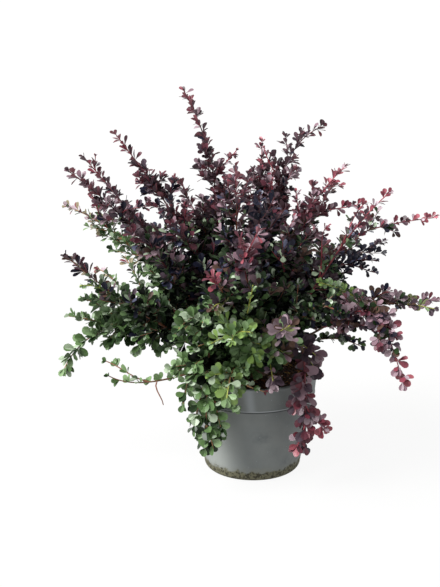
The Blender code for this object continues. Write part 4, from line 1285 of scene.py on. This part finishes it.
# Each tint lists tones for deep shade, for shade, for open air and for the young tip. The near-black tones of
# the first two lists are painted shade; the green of shaded leaves is their own colour.
TINTS = {
    "wine": (
        ("green_black", "wine_black", "green_black"),
        ("wine_black", "blue_black", "green_deep", "wine_dark", "plum_black"),
        ("wine_dark", "wine", "plum", "dusty", "wine_black", "blue_black", "mauve", "wine"),
        ("wine", "wine_dark", "claret", "dusty"),
    ),
    "ink": (
        ("green_black", "wine_black", "green_black"),
        ("blue_black", "plum_black", "blue_black", "wine_black"),
        ("blue_black", "slate", "wine_dark", "plum", "wine", "plum_black", "wine"),
        ("wine", "wine_dark", "claret"),
    ),
    "night": (
        ("green_black", "wine_black", "green_black"),
        ("blue_black", "plum_black", "green_black"),
        ("blue_black", "plum_black", "blue_black", "slate", "plum", "blue_black"),
        ("blue_black", "slate", "plum", "wine_dark"),
    ),
    "rose": (
        ("green_black", "wine_black", "green_black"),
        ("wine_black", "wine_dark", "plum", "green_deep", "blue_black"),
        ("wine", "wine_dark", "dusty", "claret", "plum", "mauve", "pale", "wine"),
        ("claret", "pink", "dusty", "claret", "red", "pale"),
    ),
    "dusk": (
        ("green_black", "green_black", "blue_black"),
        ("green_black", "green_deep", "wine_black", "blue_black"),
        ("blue_black", "plum", "green_deep", "brown", "green_deep", "dusty", "slate", "green_grey"),
        ("wine_dark", "wine", "brown"),
    ),
    "plum": (
        ("green_black", "green_black", "blue_black"),
        ("green_deep", "blue_black", "green_black", "brown"),
        ("plum", "blue_black", "brown", "dusty", "slate", "mauve", "green_deep"),
        ("plum", "wine", "claret", "dusty", "mauve"),
    ),
    "russet": (
        ("green_black", "plum_black"),
        ("green_deep", "plum_black", "plum", "brown"),
        ("plum", "plum_black", "brown", "wine", "dusty", "green_deep", "mauve"),
        ("dusty", "claret", "mauve", "plum", "red"),
    ),
    "lilac": (
        ("plum", "dusty"),
        ("dusty", "mauve", "plum", "mauve"),
        ("plum", "dusty", "mauve", "plum", "dusty", "mauve"),
        ("plum", "dusty", "mauve"),
    ),
    "plum_red": (
        ("plum", "dusty"),
        ("dusty", "plum", "mauve", "plum"),
        ("plum", "dusty", "wine", "plum", "mauve", "dusty", "claret"),
        ("claret", "dusty", "red", "plum", "wine"),
    ),
    "red": (
        ("wine_black", "wine"),
        ("wine", "claret"),
        ("claret", "dusty", "wine", "mauve", "claret"),
        ("claret", "red", "dusty", "wine"),
    ),
    "dusky_plum": (
        ("green_black", "green_deep", "green_deep"),
        ("green_deep", "green", "plum_black", "green_deep"),
        ("plum", "dusty", "brown", "green", "olive", "mauve", "green_light"),
        ("plum", "dusty", "olive", "brown", "mauve", "plum"),
    ),
    "ember": (
        ("green_black", "green_black", "green_deep"),
        ("green_black", "green_deep", "wine_black", "green_black"),
        ("green_deep", "plum", "wine_dark", "green_black", "brown", "dusty", "green_black"),
        ("claret", "red", "wine", "claret"),
    ),
    "claret": (
        ("green_black", "green_black", "wine_black"),
        ("green_deep", "blue_black", "wine_black", "green_black"),
        ("blue_black", "plum", "dusty", "slate", "green_deep", "wine_dark", "mauve", "green_black"),
        ("claret", "wine", "dusty", "plum", "wine"),
    ),
    "bronze": (
        ("green_black", "green_black", "green_deep"),
        ("green_deep", "brown", "green_black", "plum_black"),
        ("brown", "olive", "green_deep", "plum", "slate", "dusty", "tan", "green_grey", "olive"),
        ("brown", "plum_black", "wine_dark", "claret"),
    ),
    "olive": (
        ("green_black", "green_deep"),
        ("green_deep", "green", "olive"),
        ("tan", "tan", "green_grey", "pale", "green_light", "dusty", "pale"),
        ("tan", "pale", "tan", "claret"),
    ),
    "grey_green": (
        ("green_black", "green_deep", "green_deep"),
        ("green_deep", "green", "green"),
        ("green", "green_light", "green_grey", "green_deep", "green_light"),
        ("green_light", "green_grey", "green"),
    ),
    "moss": (
        ("green_black", "green_deep", "green_black"),
        ("green_deep", "green_black", "green"),
        ("green_deep", "green", "green_deep", "green_light", "green", "green_grey"),
        ("green", "green_deep", "green", "green_deep"),
    ),
    "green": (
        ("green_deep", "green", "green"),
        ("green", "green_light", "green"),
        ("green", "green_light", "green_light", "green", "green_grey"),
        ("green", "green_light", "green_deep", "green"),
    ),
    "lime": (
        ("green_deep", "green", "green"),
        ("green", "green_light", "green_light"),
        ("green_light", "lime", "green", "green_grey", "lime", "green_light"),
        ("lime", "green_light", "lime", "green"),
    ),
    "shade": (
        ("green_black", "green_black"),
        ("green_black", "green_deep", "green_black"),
        (
            "green_black", "green_deep", "blue_black", "green_deep",
            "green_black", "green", "green_grey", "green_deep",
        ),
        ("green_deep", "green_black", "blue_black", "green"),
    ),
}
STEMS_OF_TINT = {
    "wine": ("bronze", "wine", "red"),
    "rose": ("bronze", "red", "pink"),
    "ink": ("bronze", "red", "red"),
    "night": ("bronze", "bronze", "wine"),
    "dusk": ("bark", "bronze", "wine"),
    "plum": ("bark", "bronze", "red"),
    "russet": ("bark", "red", "red"),
    "lilac": ("bark", "lime", "lime"),
    "plum_red": ("bark", "red", "red"),
    "red": ("red", "red", "pink"),
    "dusky_plum": ("bark", "lime", "lime"),
    "ember": ("bark", "bronze", "red"),
    "claret": ("bark", "bronze", "red"),
    "bronze": ("bark", "bronze", "bronze"),
    "olive": ("bark", "tan", "tan"),
    "grey_green": ("bark", "bronze", "tan"),
    "moss": ("bark", "bronze", "tan"),
    "green": ("bark", "bark", "bronze"),
    "lime": ("bark", "tan", "lime"),
    "shade": ("bark", "bark", "bronze"),
}
FOOT_SHARE = 0.36
TIP_SHARE = 0.86
UPPER_ROUGHNESS = 0.33
UNDER_ROUGHNESS = 0.6
DARK_GLOSS = 0.14
LIGHT_GLOSS = 0.65
LIGHT_TONE = 600.0


def zone_of(share):
    """0 at a shoot's foot, 1 along its middle, 2 at its young tip."""
    return 0 if share < FOOT_SHARE else 1 if share < TIP_SHARE else 2


def make_leaf_material(name, colour, roughness):
    """One tone of leaf. Its wax gives a soft gloss, weaker on dark leaves, which would look grey with it."""
    gloss = DARK_GLOSS + (LIGHT_GLOSS - DARK_GLOSS) * sum(colour) / LIGHT_TONE
    return new_material("leaf_" + name, colour, roughness, gloss)


LEAF_MATERIALS = []
for name, (colour, _) in LEAF_TONES.items():
    LEAF_MATERIALS.append(make_leaf_material(name, colour, UPPER_ROUGHNESS))
for name, colour in UNDERSIDES.items():
    LEAF_MATERIALS.append(make_leaf_material("under_" + name, colour, UNDER_ROUGHNESS))
UPPER_SLOTS = {name: slot for slot, name in enumerate(LEAF_TONES)}
UNDER_SLOTS = {name: slot for slot, name in enumerate(UNDERSIDES, start=len(LEAF_TONES))}
print("leaf tones:", len(LEAF_TONES))


# %% [markdown]
# Leaves stand in rosettes: at each node a very short side shoot carries three to five leaves of different
# lengths, with a thin spine under them. Each part of the crown collects its rosettes, twigs and spines, and
# one mesh is made of each kind.

# %% Rosettes
class Rosette(NamedTuple):
    """The leaves of one node: (form, placing) pairs, with the shoot and where on it they stand."""

    shoot: Shoot
    share: float
    origin: Vector
    leaves: list


LEAF_ROLL = math.radians(42.0)
LEAF_SHARP_PAST = 24.0
LEAF_FACE_ALONG = 0.8
LEAF_FACE_UP = 0.6
LEAF_FACE_AWAY = 0.35
LEAF_FACE_LIGHT = 0.65
LIGHT_SIDE = Vector((-0.45, -0.90, 0.0))
POT_CLEARANCE = 0.0012
SOIL_CLEARANCE = 0.001
BOX_MARGIN = 0.0025


def leaf_matrix(root, along, face, roll, length):
    """Places a unit leaf: its rib runs along, and its upper side looks towards face, turned by roll."""
    across = face.cross(along)
    if across.length < NEARLY_ALONG:
        across = around(along, 0.0)
    across = Matrix.Rotation(roll, 3, along) @ across.normalized()
    upward = along.cross(across).normalized()
    turn = Matrix((along, across, upward)).transposed().to_4x4()
    return Matrix.Translation(root) @ turn @ Matrix.Scale(length, 4)


def leaf_face(origin, axis):
    """Where upper sides look: along an upright stem and up, but outward on one that lies or hangs."""
    upright = max(axis.z, 0.0)
    away = Vector((origin.x, origin.y, 0.0)).normalized()
    outward = away * LEAF_FACE_AWAY + LIGHT_SIDE * LEAF_FACE_LIGHT
    return axis * (LEAF_FACE_ALONG * upright) + outward * (1.0 - upright) + UPWARD * LEAF_FACE_UP


def pot_radius(height):
    """The outer radius of the pot at a height, its bead counted."""
    if height > POT_COLLAR_BOTTOM:
        share = (height - POT_COLLAR_BOTTOM) / (POT_HEIGHT - POT_COLLAR_BOTTOM)
        return POT_COLLAR_RADIUS + (POT_RIM_RADIUS + POT_BEAD - POT_COLLAR_RADIUS) * share
    return POT_HEEL_RADIUS + (POT_BODY_TOP_RADIUS - POT_HEEL_RADIUS) * (height / POT_COLLAR_BOTTOM)


def pot_side(point):
    """Where a point is: above, outside or inside the pot, or None near its wall, its soil or the ground."""
    if point.z > POT_HEIGHT + POT_CLEARANCE:
        return "above"
    radius = math.hypot(point.x, point.y)
    wall = pot_radius(point.z)
    if radius > wall + POT_CLEARANCE:
        return "outside" if point.z > POT_CLEARANCE else None
    is_in_wall = radius >= wall - POT_WALL - POT_BEAD - POT_CLEARANCE
    if is_in_wall or point.z <= soil_height(point.x, point.y) + SOIL_CLEARANCE:
        return None
    return "inside"


def is_clear(points):
    """True if points stay off the pot, soil and ground and on one side of the wall, the last in the box."""
    sides = {pot_side(point) for point in points}
    if None in sides or {"inside", "outside"} <= sides:
        return False
    end = zip(points[-1], CAD_LOW, CAD_HIGH)
    return all(low + BOX_MARGIN < value < high - BOX_MARGIN for value, low, high in end)


def placed(places, placings):
    """An array of points, placed by each of the placings."""
    return np.einsum("kij,nj->kni", placings[:, :3, :3], places) + placings[:, None, :3, 3]


def join_leaves(name, leaves):
    """One mesh of many (form, placing, tone) leaves, with upper and under sides in their own materials."""
    places, faces, slots = [], [], []
    start = 0
    for key, form in LEAF_FORMS.items():
        chosen = [leaf for leaf in leaves if leaf[0] == key]
        if not chosen:
            continue
        firsts = start + len(form.points) * np.arange(len(chosen))
        upper = np.array([UPPER_SLOTS[tone] for _, _, tone in chosen])
        under = np.array([UNDER_SLOTS[LEAF_TONES[tone][1]] for _, _, tone in chosen])
        places.append(placed(form.points, np.array([placing for _, placing, _ in chosen])).reshape(-1, 3))
        faces.append((form.faces[None] + firsts[:, None, None]).reshape(-1, 3))
        slots.append(np.where(form.is_upper[None], upper[:, None], under[:, None]).ravel())
        start += len(form.points) * len(chosen)
    places, faces = np.concatenate(places).tolist(), np.concatenate(faces).tolist()
    return smooth_mesh(name, places, faces, np.concatenate(slots).astype(np.int32), LEAF_SHARP_PAST)


print("the pot's rim with its bead:", round(2000.0 * pot_radius(POT_HEIGHT)), "mm across")


# %% [markdown]
# The growing rule is the source's, carried further. Walk up the stem. At each node set a rosette, turned on
# by the golden angle, so that no two stand above each other. At most nodes a twig leaves on the other side,
# bends towards the light and carries rosettes of its own, and where there is room finer twigs leave that one.
# The twigs get shorter towards the tip, as they are younger there. Chance is seeded by the shoot's number, so
# each run is the same.

# %% Growing a shoot
SEED = 1871
GOLDEN_ANGLE = math.radians(137.5)
NODE_STEP = 0.0078
NODE_SPREAD = 0.15
TURN_SPREAD = 0.2
LAST_NODE = 0.3
USUAL_LEAF = 0.021
JOINT_GROWTH = 1.5
LONG_JOINTS = {
    "left_low": 2.2,
    "right_far_high": 1.5,
    "right_long": 1.3,
    "left_spire": 1.15,
    "right_spire": 1.15,
}
LEAVES_PER_NODE = (3, 5)
OVAL_FINISH = -10.0
ROUND_TINTS = ("green", "grey_green", "moss")


def node_step(shoot):
    """The distance between two nodes of a cane: longer with large leaves, and on a few loose shoots."""
    return NODE_STEP * max((shoot.leaf / USUAL_LEAF) ** JOINT_GROWTH, 1.0) * LONG_JOINTS.get(shoot.name, 1.0)


def next_step(draw, step):
    """A distance near this step, drawn by chance."""
    return step * draw.uniform(1.0 - NODE_SPREAD, 1.0 + NODE_SPREAD)


def outline_of(shoot):
    """Green shoots have round leaves, other hanging ones ovals, and the rest spoons, or paddles if large."""
    if shoot.tint in ROUND_TINTS:
        return "round"
    if shoot.finish < OVAL_FINISH:
        return "oval"
    return "paddle" if shoot.leaf > USUAL_LEAF else "spoon"


def opened(axis, aside, angle):
    """A direction that opens from the axis by an angle."""
    return (axis * math.cos(angle) + aside * math.sin(angle)).normalized()


print("node steps in mm:", {shoot.name: round(1000.0 * node_step(shoot), 1) for shoot in SHOOTS})


# %% Sizes of twigs, rosettes and spines
TWIG_TAPER = 0.85
TWIG_SPREAD = (0.55, 1.1)
SOLID_LEAF_LENGTH = 0.048
SOLID_TIP_LEAF_LENGTH = 0.024
TWIG_MIN_LENGTH = 0.014
TWIG_MAX_LENGTH = 0.085
SHORT_TWIG = 0.02
SHORT_TWIG_STEPS = 3
TWIG_STEPS = 6
TWIG_LEAN = (math.radians(30.0), math.radians(64.0))
TWIG_LIFT = 0.35
TWIG_RADIUS = 0.0007
TWIG_TIP_RADIUS = 0.0004
TWIG_SIDES = 4
TWIG_NODE_STEP = 0.0080
TWIG_FIRST_NODE = (0.6, 1.0)
TWIG_LEAF_SHARE = 0.92
TWIG_TIP_LEAF_SHARE = 0.85
TWIG_LEAF_ROOM = 0.8
FINE_TWIG_SHARE = 0.75
FINE_TWIG_MIN_LENGTH = 0.010
FINE_TWIG_EVERY = 0.012
ROSETTE_LEAN = math.radians(46.0)
ROSETTE_RISE = 0.8
ROSETTE_STAND = 0.0005
ROSETTE_OPEN = (0.35, 0.90)
MIDDLE_LEAF_OPEN = 0.15
LEAF_SPREAD = (0.60, 1.0)
LEAF_BELLY = 0.6
TIP_LEAVES = 4
TIP_OPEN = (0.25, 0.7)
TIP_LEAF_SPREAD = (0.65, 1.0)
TIP_LEAF_SHARE = 0.72
CANE_TIP_LEAF_SHARE = 0.8
END_REACH = 0.006
SPINE_LENGTH = (0.004, 0.009)
SPINE_DROOP = 0.2
SPINE_RADIUS = 0.00028
SPINE_RADII = (SPINE_RADIUS, 0.6 * SPINE_RADIUS, 0.15 * SPINE_RADIUS)
SPINE_SIDES = 3


def twig_reach(shoot, share, spread):
    """How far from its cane a side twig and its last leaf may reach: as far as those of the solid do."""
    solid_leaf = SOLID_LEAF_LENGTH + (SOLID_TIP_LEAF_LENGTH - SOLID_LEAF_LENGTH) * share
    return shoot.girth * (1.0 - TWIG_TAPER * share) * spread + 0.5 * solid_leaf * spread


def bent_twig(draw, origin, axis, turn, reach):
    """(points, lean) of a twig that leaves the axis by a lean and then bends up towards the light."""
    lean = draw.uniform(*TWIG_LEAN)
    length = min(reach / math.sin(lean), TWIG_MAX_LENGTH)
    first = axis * math.cos(lean) + around(axis, turn) * math.sin(lean)
    later = (first + UPWARD * (TWIG_LIFT * max(axis.z, 0.0))).normalized()
    elbow = origin + first * (0.5 * length)
    end = elbow + later * (0.5 * length)
    steps = SHORT_TWIG_STEPS if length < SHORT_TWIG else TWIG_STEPS
    points = []
    for step in range(steps + 1):
        t = step / steps
        points.append((1.0 - t) ** 2 * origin + 2.0 * (1.0 - t) * t * elbow + t * t * end)
    return points, lean


longest_reach = max(twig_reach(shoot, shoot.bare, TWIG_SPREAD[1]) for shoot in SHOOTS)
print("longest reach of a twig and its leaf:", round(1000.0 * longest_reach), "mm")


# %% Parts of the crown
class CrownPart:
    """What grows in one part of the crown: its rosettes, twigs and spines."""

    def __init__(self):
        self.rosettes = []
        self.twigs = Tubes()
        self.spines = Tubes()

    def add_leaves(self, draw, shoot, share, origin, face, headings):
        """Adds one rosette: a leaf along each (direction, length) heading, apart from those without room."""
        leaves = []
        for along, length in headings:
            form = draw.choice(FORMS_OF_OUTLINE[outline_of(shoot)])
            placing = leaf_matrix(origin, along, face, LEAF_ROLL * draw.uniform(-1.0, 1.0), length)
            if is_clear([origin, origin + along * (LEAF_BELLY * length), origin + along * length]):
                leaves.append((form, placing))
        if leaves:
            self.rosettes.append(Rosette(shoot, share, origin, leaves))

    def add_spine(self, draw, shoot, origin, axis, out):
        """Adds the spine under a rosette."""
        end = origin + (out - SPINE_DROOP * axis).normalized() * draw.uniform(*SPINE_LENGTH)
        if is_clear([origin, end]):
            tint = STEMS_OF_TINT[shoot.tint][1]
            self.spines.add([origin, origin.lerp(end, 0.5), end], SPINE_RADII, SPINE_SIDES, [tint] * 2)

    def add_rosette(self, draw, shoot, origin, axis, turn, length, share):
        """Adds the leaves of one node, the middle one longest, and the spine under them."""
        out = (around(axis, turn) + UPWARD * (ROSETTE_RISE * (1.0 - axis.z * axis.z))).normalized()
        middle = opened(axis, out, ROSETTE_LEAN)
        leaf_turn = draw.uniform(0.0, math.tau)
        headings = []
        for number in range(draw.randint(*LEAVES_PER_NODE)):
            angle = MIDDLE_LEAF_OPEN if number == 0 else draw.uniform(*ROSETTE_OPEN)
            shorter = 1.0 if number == 0 else draw.uniform(*LEAF_SPREAD)
            headings.append((opened(middle, around(middle, leaf_turn), angle), length * shorter))
            leaf_turn += GOLDEN_ANGLE
        self.add_leaves(draw, shoot, share, origin + out * ROSETTE_STAND, leaf_face(origin, axis), headings)
        self.add_spine(draw, shoot, origin, axis, out)

    def add_tip(self, draw, shoot, origin, axis, length, share):
        """Adds the young leaves that end a stem."""
        turn = draw.uniform(0.0, math.tau)
        headings = []
        for _ in range(TIP_LEAVES):
            heading = opened(axis, around(axis, turn), draw.uniform(*TIP_OPEN))
            headings.append((heading, length * draw.uniform(*TIP_LEAF_SPREAD)))
            turn += GOLDEN_ANGLE
        self.add_leaves(draw, shoot, share, origin, leaf_face(origin, axis), headings)

    def add_twig(self, draw, shoot, origin, axis, turn, reach, leaf_length, share, is_fine=False):
        """Adds a side twig with its rosettes, and finer twigs on it where there is room."""
        points, lean = bent_twig(draw, origin, axis, turn, reach)
        if not is_clear(points):
            return
        steps = len(points) - 1
        radii = [TWIG_RADIUS + (TWIG_TIP_RADIUS - TWIG_RADIUS) * step / steps for step in range(steps + 1)]
        stems = STEMS_OF_TINT[shoot.tint]
        tints = [stems[min(zone_of(share) + (step > steps // 2), 2)] for step in range(steps)]
        self.twigs.add(points, radii, TWIG_SIDES, tints)
        along = distances(points)
        place = TWIG_NODE_STEP * draw.uniform(*TWIG_FIRST_NODE)
        node_turn = draw.uniform(0.0, math.tau)
        last_fine = 0.0
        while place < along[-1] - LAST_NODE * TWIG_NODE_STEP:
            spot, heading = point_at(points, along, place)
            self.add_rosette(draw, shoot, spot, heading, node_turn, leaf_length * TWIG_LEAF_SHARE, share)
            room = FINE_TWIG_SHARE * (along[-1] - place) * math.sin(lean)
            if not is_fine and place - last_fine > FINE_TWIG_EVERY and room > FINE_TWIG_MIN_LENGTH:
                other_side = node_turn + math.pi
                self.add_twig(draw, shoot, spot, heading, other_side, room, leaf_length, share, is_fine=True)
                last_fine = place
            node_turn += GOLDEN_ANGLE
            place += next_step(draw, TWIG_NODE_STEP)
        spot, heading = point_at(points, along, along[-1])
        self.add_tip(draw, shoot, spot, heading, leaf_length * TWIG_TIP_LEAF_SHARE, share)

    def grow(self, number, shoot, path):
        """Walks up a cane and adds its rosettes and twigs."""
        draw = random.Random(SEED + number)
        along = distances(path)
        length = along[-1] - END_REACH
        step = node_step(shoot)
        place = shoot.bare * length + 0.5 * step
        tip_leaf = 1.0 if shoot.finish < OVAL_FINISH else TIP_LEAF_SHARE
        turn = draw.uniform(0.0, math.tau)
        while place < length - LAST_NODE * step:
            share = place / length
            origin, axis = point_at(path, along, place)
            leaf_length = shoot.leaf * (1.0 + (tip_leaf - 1.0) * share**3)
            reach = twig_reach(shoot, share, draw.uniform(*TWIG_SPREAD)) - TWIG_LEAF_ROOM * leaf_length
            if draw.random() < shoot.twigs and reach > TWIG_MIN_LENGTH:
                self.add_twig(draw, shoot, origin, axis, turn + math.pi, reach, leaf_length, share)
            self.add_rosette(draw, shoot, origin, axis, turn, leaf_length, share)
            turn += GOLDEN_ANGLE + draw.uniform(-TURN_SPREAD, TURN_SPREAD)
            place += next_step(draw, step)
        spot, heading = point_at(path, along, length)
        self.add_tip(draw, shoot, spot, heading, shoot.leaf * tip_leaf * CANE_TIP_LEAF_SHARE, 1.0)


# %% Growing the crown
UPRIGHT_LAUNCH = 68


def part_of_crown(shoot):
    """The part of the crown that a shoot is in: the top if it starts upright, or else by its azimuth."""
    if shoot.launch >= UPRIGHT_LAUNCH:
        return "top_left" if 90 <= shoot.azimuth < 270 else "top_right"
    if 225 <= shoot.azimuth < 315:
        return "front"
    if 135 <= shoot.azimuth < 225:
        return "left"
    return "back" if 45 <= shoot.azimuth < 135 else "right"


CROWN = {part: CrownPart() for part in ("top_left", "top_right", "front", "left", "right", "back")}
for number, (shoot, path) in enumerate(zip(SHOOTS, CANE_PATHS)):
    CROWN[part_of_crown(shoot)].grow(number, shoot, path)
for number, (fork, path) in enumerate(zip(FORKS, FORK_PATHS), start=len(SHOOTS)):
    if fork.leaf:
        parent = PARENTS[fork.parent][0]
        own = {"tint": fork.tint, "leaf": fork.leaf, "finish": fork.finish}
        as_shoot = parent._replace(bare=FORK_BARE, girth=0.0, **own)
        CROWN[part_of_crown(parent)].grow(number, as_shoot, path)
ALL_ROSETTES = [rosette for part in CROWN.values() for rosette in part.rosettes]
print("rosettes:", {name: len(part.rosettes) for name, part in CROWN.items()})
print("leaves:", sum(len(rosette.leaves) for rosette in ALL_ROSETTES))

# %% [markdown]
# A purple barberry is only purple where it gets light: leaves that the crown shades stay green. Deep inside,
# they are also given near-black tones, which are painted shade. So each rosette's light is measured. Rays
# leave it in all upward and sideward directions, and the share that passes every other leaf chooses the list
# from which its tone is drawn. One flat card for each leaf is enough to stop a ray, which keeps this quick.
# The photograph also shows a level across the crown under which even the outer leaves are green or nearly
# black. A second rule gives the shoots under it a greener tint, and lower down a darker one, whose darkness
# is painted shade.

# %% Light on each rosette
LIGHT_RAYS = 20
LIGHT_LOWEST = -0.25
LIGHT_START = 0.016
LIGHT_REACH = 0.30
DEEP_LIGHT = 0.12
SHADE_LIGHT = 0.28
YOUNG_LIGHT = 0.35
SHARED_TONE_SHARE = 0.45
GREEN_HEIGHT = 0.370
GREEN_BLUR = 0.035
# Below this height the lower tint is darkened once more, as painted shade.
DARK_HEIGHT = 0.300
GREEN_SHARE = 0.78
HANGING_FINISH = -60.0
LOWER_TINTS = {
    "wine": "dusk",
    "rose": "dusk",
    "ink": "dusk",
    "dusk": "shade",
    "claret": "dusk",
    "ember": "shade",
    "bronze": "dusk",
    "olive": "grey_green",
}

LEAF_CARD = ((0.1, 0.0, 0.0), (0.65, 0.26, 0.0), (1.0, 0.0, 0.0), (0.65, -0.26, 0.0))
CARD_FACES = ((0, 1, 2), (0, 2, 3))


def ray_directions():
    """Directions spread evenly over the sky and a little below the horizon."""
    found = []
    for number in range(LIGHT_RAYS):
        height = 1.0 - (1.0 - LIGHT_LOWEST) * (number + 0.5) / LIGHT_RAYS
        level = math.sqrt(1.0 - height * height)
        turn = GOLDEN_ANGLE * number
        found.append(Vector((level * math.cos(turn), level * math.sin(turn), height)))
    return found


def leaf_cards():
    """A tree of two triangles for each leaf, to stop rays."""
    placings = np.array([placing for rosette in ALL_ROSETTES for _, placing in rosette.leaves])
    corners = placed(np.array(LEAF_CARD), placings)
    faces = np.array(CARD_FACES)[None] + len(LEAF_CARD) * np.arange(len(placings))[:, None, None]
    return BVHTree.FromPolygons(corners.reshape(-1, 3).tolist(), faces.reshape(-1, 3).tolist())


LEAF_CARDS = leaf_cards()
LIGHT_DIRECTIONS = ray_directions()


def light_at(place):
    """The share of rays that leave the crown from here."""
    hits = [LEAF_CARDS.ray_cast(place + ray * LIGHT_START, ray, LIGHT_REACH)[0] for ray in LIGHT_DIRECTIONS]
    return hits.count(None) / len(hits)


def tint_at(rosette, draw):
    """The tint of a rosette: its shoot's own, or below two heights a greener and then a darker one."""
    shoot = rosette.shoot
    height = rosette.origin.z + GREEN_BLUR * draw.uniform(-1.0, 1.0)
    if height > GREEN_HEIGHT or rosette.share > GREEN_SHARE or shoot.finish < HANGING_FINISH:
        return shoot.tint
    lower = LOWER_TINTS.get(shoot.tint, shoot.tint)
    return LOWER_TINTS.get(lower, lower) if height < DARK_HEIGHT else lower


def tones_for(rosette, draw):
    """The tones that a rosette may have where it stands."""
    light = light_at(rosette.origin)
    deep, shade, open_air, young = TINTS[tint_at(rosette, draw)]
    # Rosettes in deep shade and in shade draw darker tones: painted shade, besides the green that shaded
    # leaves keep.
    if light < DEEP_LIGHT:
        return deep
    if light < SHADE_LIGHT:
        return shade
    if rosette.share > TIP_SHARE and light > YOUNG_LIGHT:
        return young
    return open_air


def toned_leaves(part, draw):
    """The (form, placing, tone) of each leaf of a part. Many leaves of a rosette share one tone."""
    toned = []
    for rosette in part.rosettes:
        tones = tones_for(rosette, draw)
        shared = draw.choice(tones)
        for form, placing in rosette.leaves:
            tone = shared if draw.random() < SHARED_TONE_SHARE else draw.choice(tones)
            toned.append((form, placing, tone))
    return toned


tone_draw = random.Random(SEED)
TONED = {name: toned_leaves(part, tone_draw) for name, part in CROWN.items()}
all_tones = [tone for leaves in TONED.values() for _, _, tone in leaves]
print("leaves of the darkest green:", all_tones.count("green_black"))

# %% [markdown]
# The canes come last. Each is one tube from inside the stump to its tip. Its foot has old bark, and its leafy
# length has smooth skin. On a long cane that foot is the bough of the CAD model. The young ends are a little
# thicker than those of the solids, so that they show as in the photograph.

# %% Canes
CANE_TIP_RADIUS = 0.0007
CANE_TAPER = 1.3
CANE_SUNK = 0.004
CANE_STEP = 0.006
CANE_MIN_RINGS = 8
CANE_SIDES = 10
CANE_FURROWS = 0.07
CANE_OLD_SHARE = 0.12
FORK_RADIUS = 0.0012
FORK_MIN_RINGS = 5
FORK_SIDES = 6


def ring_points(path, end, min_rings):
    """Evenly spaced points along a path, the last of them this far before its end."""
    along = distances(path)
    length = along[-1] - end
    rings = max(min_rings, int(length / CANE_STEP))
    return [point_at(path, along, length * ring / (rings - 1))[0] for ring in range(rings)]


def add_cane(tubes, shoot, path):
    """Adds a cane, sunk a little into the stump, with old bark at its foot and young skin at its tip."""
    points = ring_points(path, END_REACH, CANE_MIN_RINGS)
    shares = [ring / (len(points) - 1) for ring in range(len(points))]
    points[0] = points[0] - (points[1] - points[0]).normalized() * CANE_SUNK
    thicker = CANE_RADIUS - CANE_TIP_RADIUS
    radii = [CANE_TIP_RADIUS + thicker * (1.0 - share) ** CANE_TAPER for share in shares]
    stems = STEMS_OF_TINT[shoot.tint]
    old_until = max(shoot.bare, CANE_OLD_SHARE)
    tints = ["old" if share < old_until else stems[zone_of(share)] for share in shares[:-1]]
    tubes.add(points, radii, CANE_SIDES, tints, CANE_FURROWS)


def add_fork(tubes, fork, path):
    """Adds a fork to the tubes, all in the tint of a young stem."""
    points = ring_points(path, 0.0, FORK_MIN_RINGS)
    last = len(points) - 1
    radii = [FORK_RADIUS + (CANE_TIP_RADIUS - FORK_RADIUS) * ring / last for ring in range(last + 1)]
    tubes.add(points, radii, FORK_SIDES, [STEMS_OF_TINT[fork.tint][2]] * last)


canes = Tubes()
for shoot, path in zip(SHOOTS, CANE_PATHS):
    add_cane(canes, shoot, path)
for fork, path in zip(FORKS, FORK_PATHS):
    add_fork(canes, fork, path)
bough_nodes = [name for name in frame["nodes"] if name.endswith("_bough")]
add_piece("canes", canes.mesh("canes"), STEM_MATERIALS, bough_nodes)

for name, part in CROWN.items():
    masses = [shoot.name + "_foliage" for shoot in SHOOTS if part_of_crown(shoot) == name]
    add_piece("leaves_" + name, join_leaves("leaves_" + name, TONED[name]), LEAF_MATERIALS, masses)
    add_piece("twigs_" + name, part.twigs.mesh("twigs_" + name), STEM_MATERIALS)
    add_piece("spines_" + name, part.spines.mesh("spines_" + name), STEM_MATERIALS)
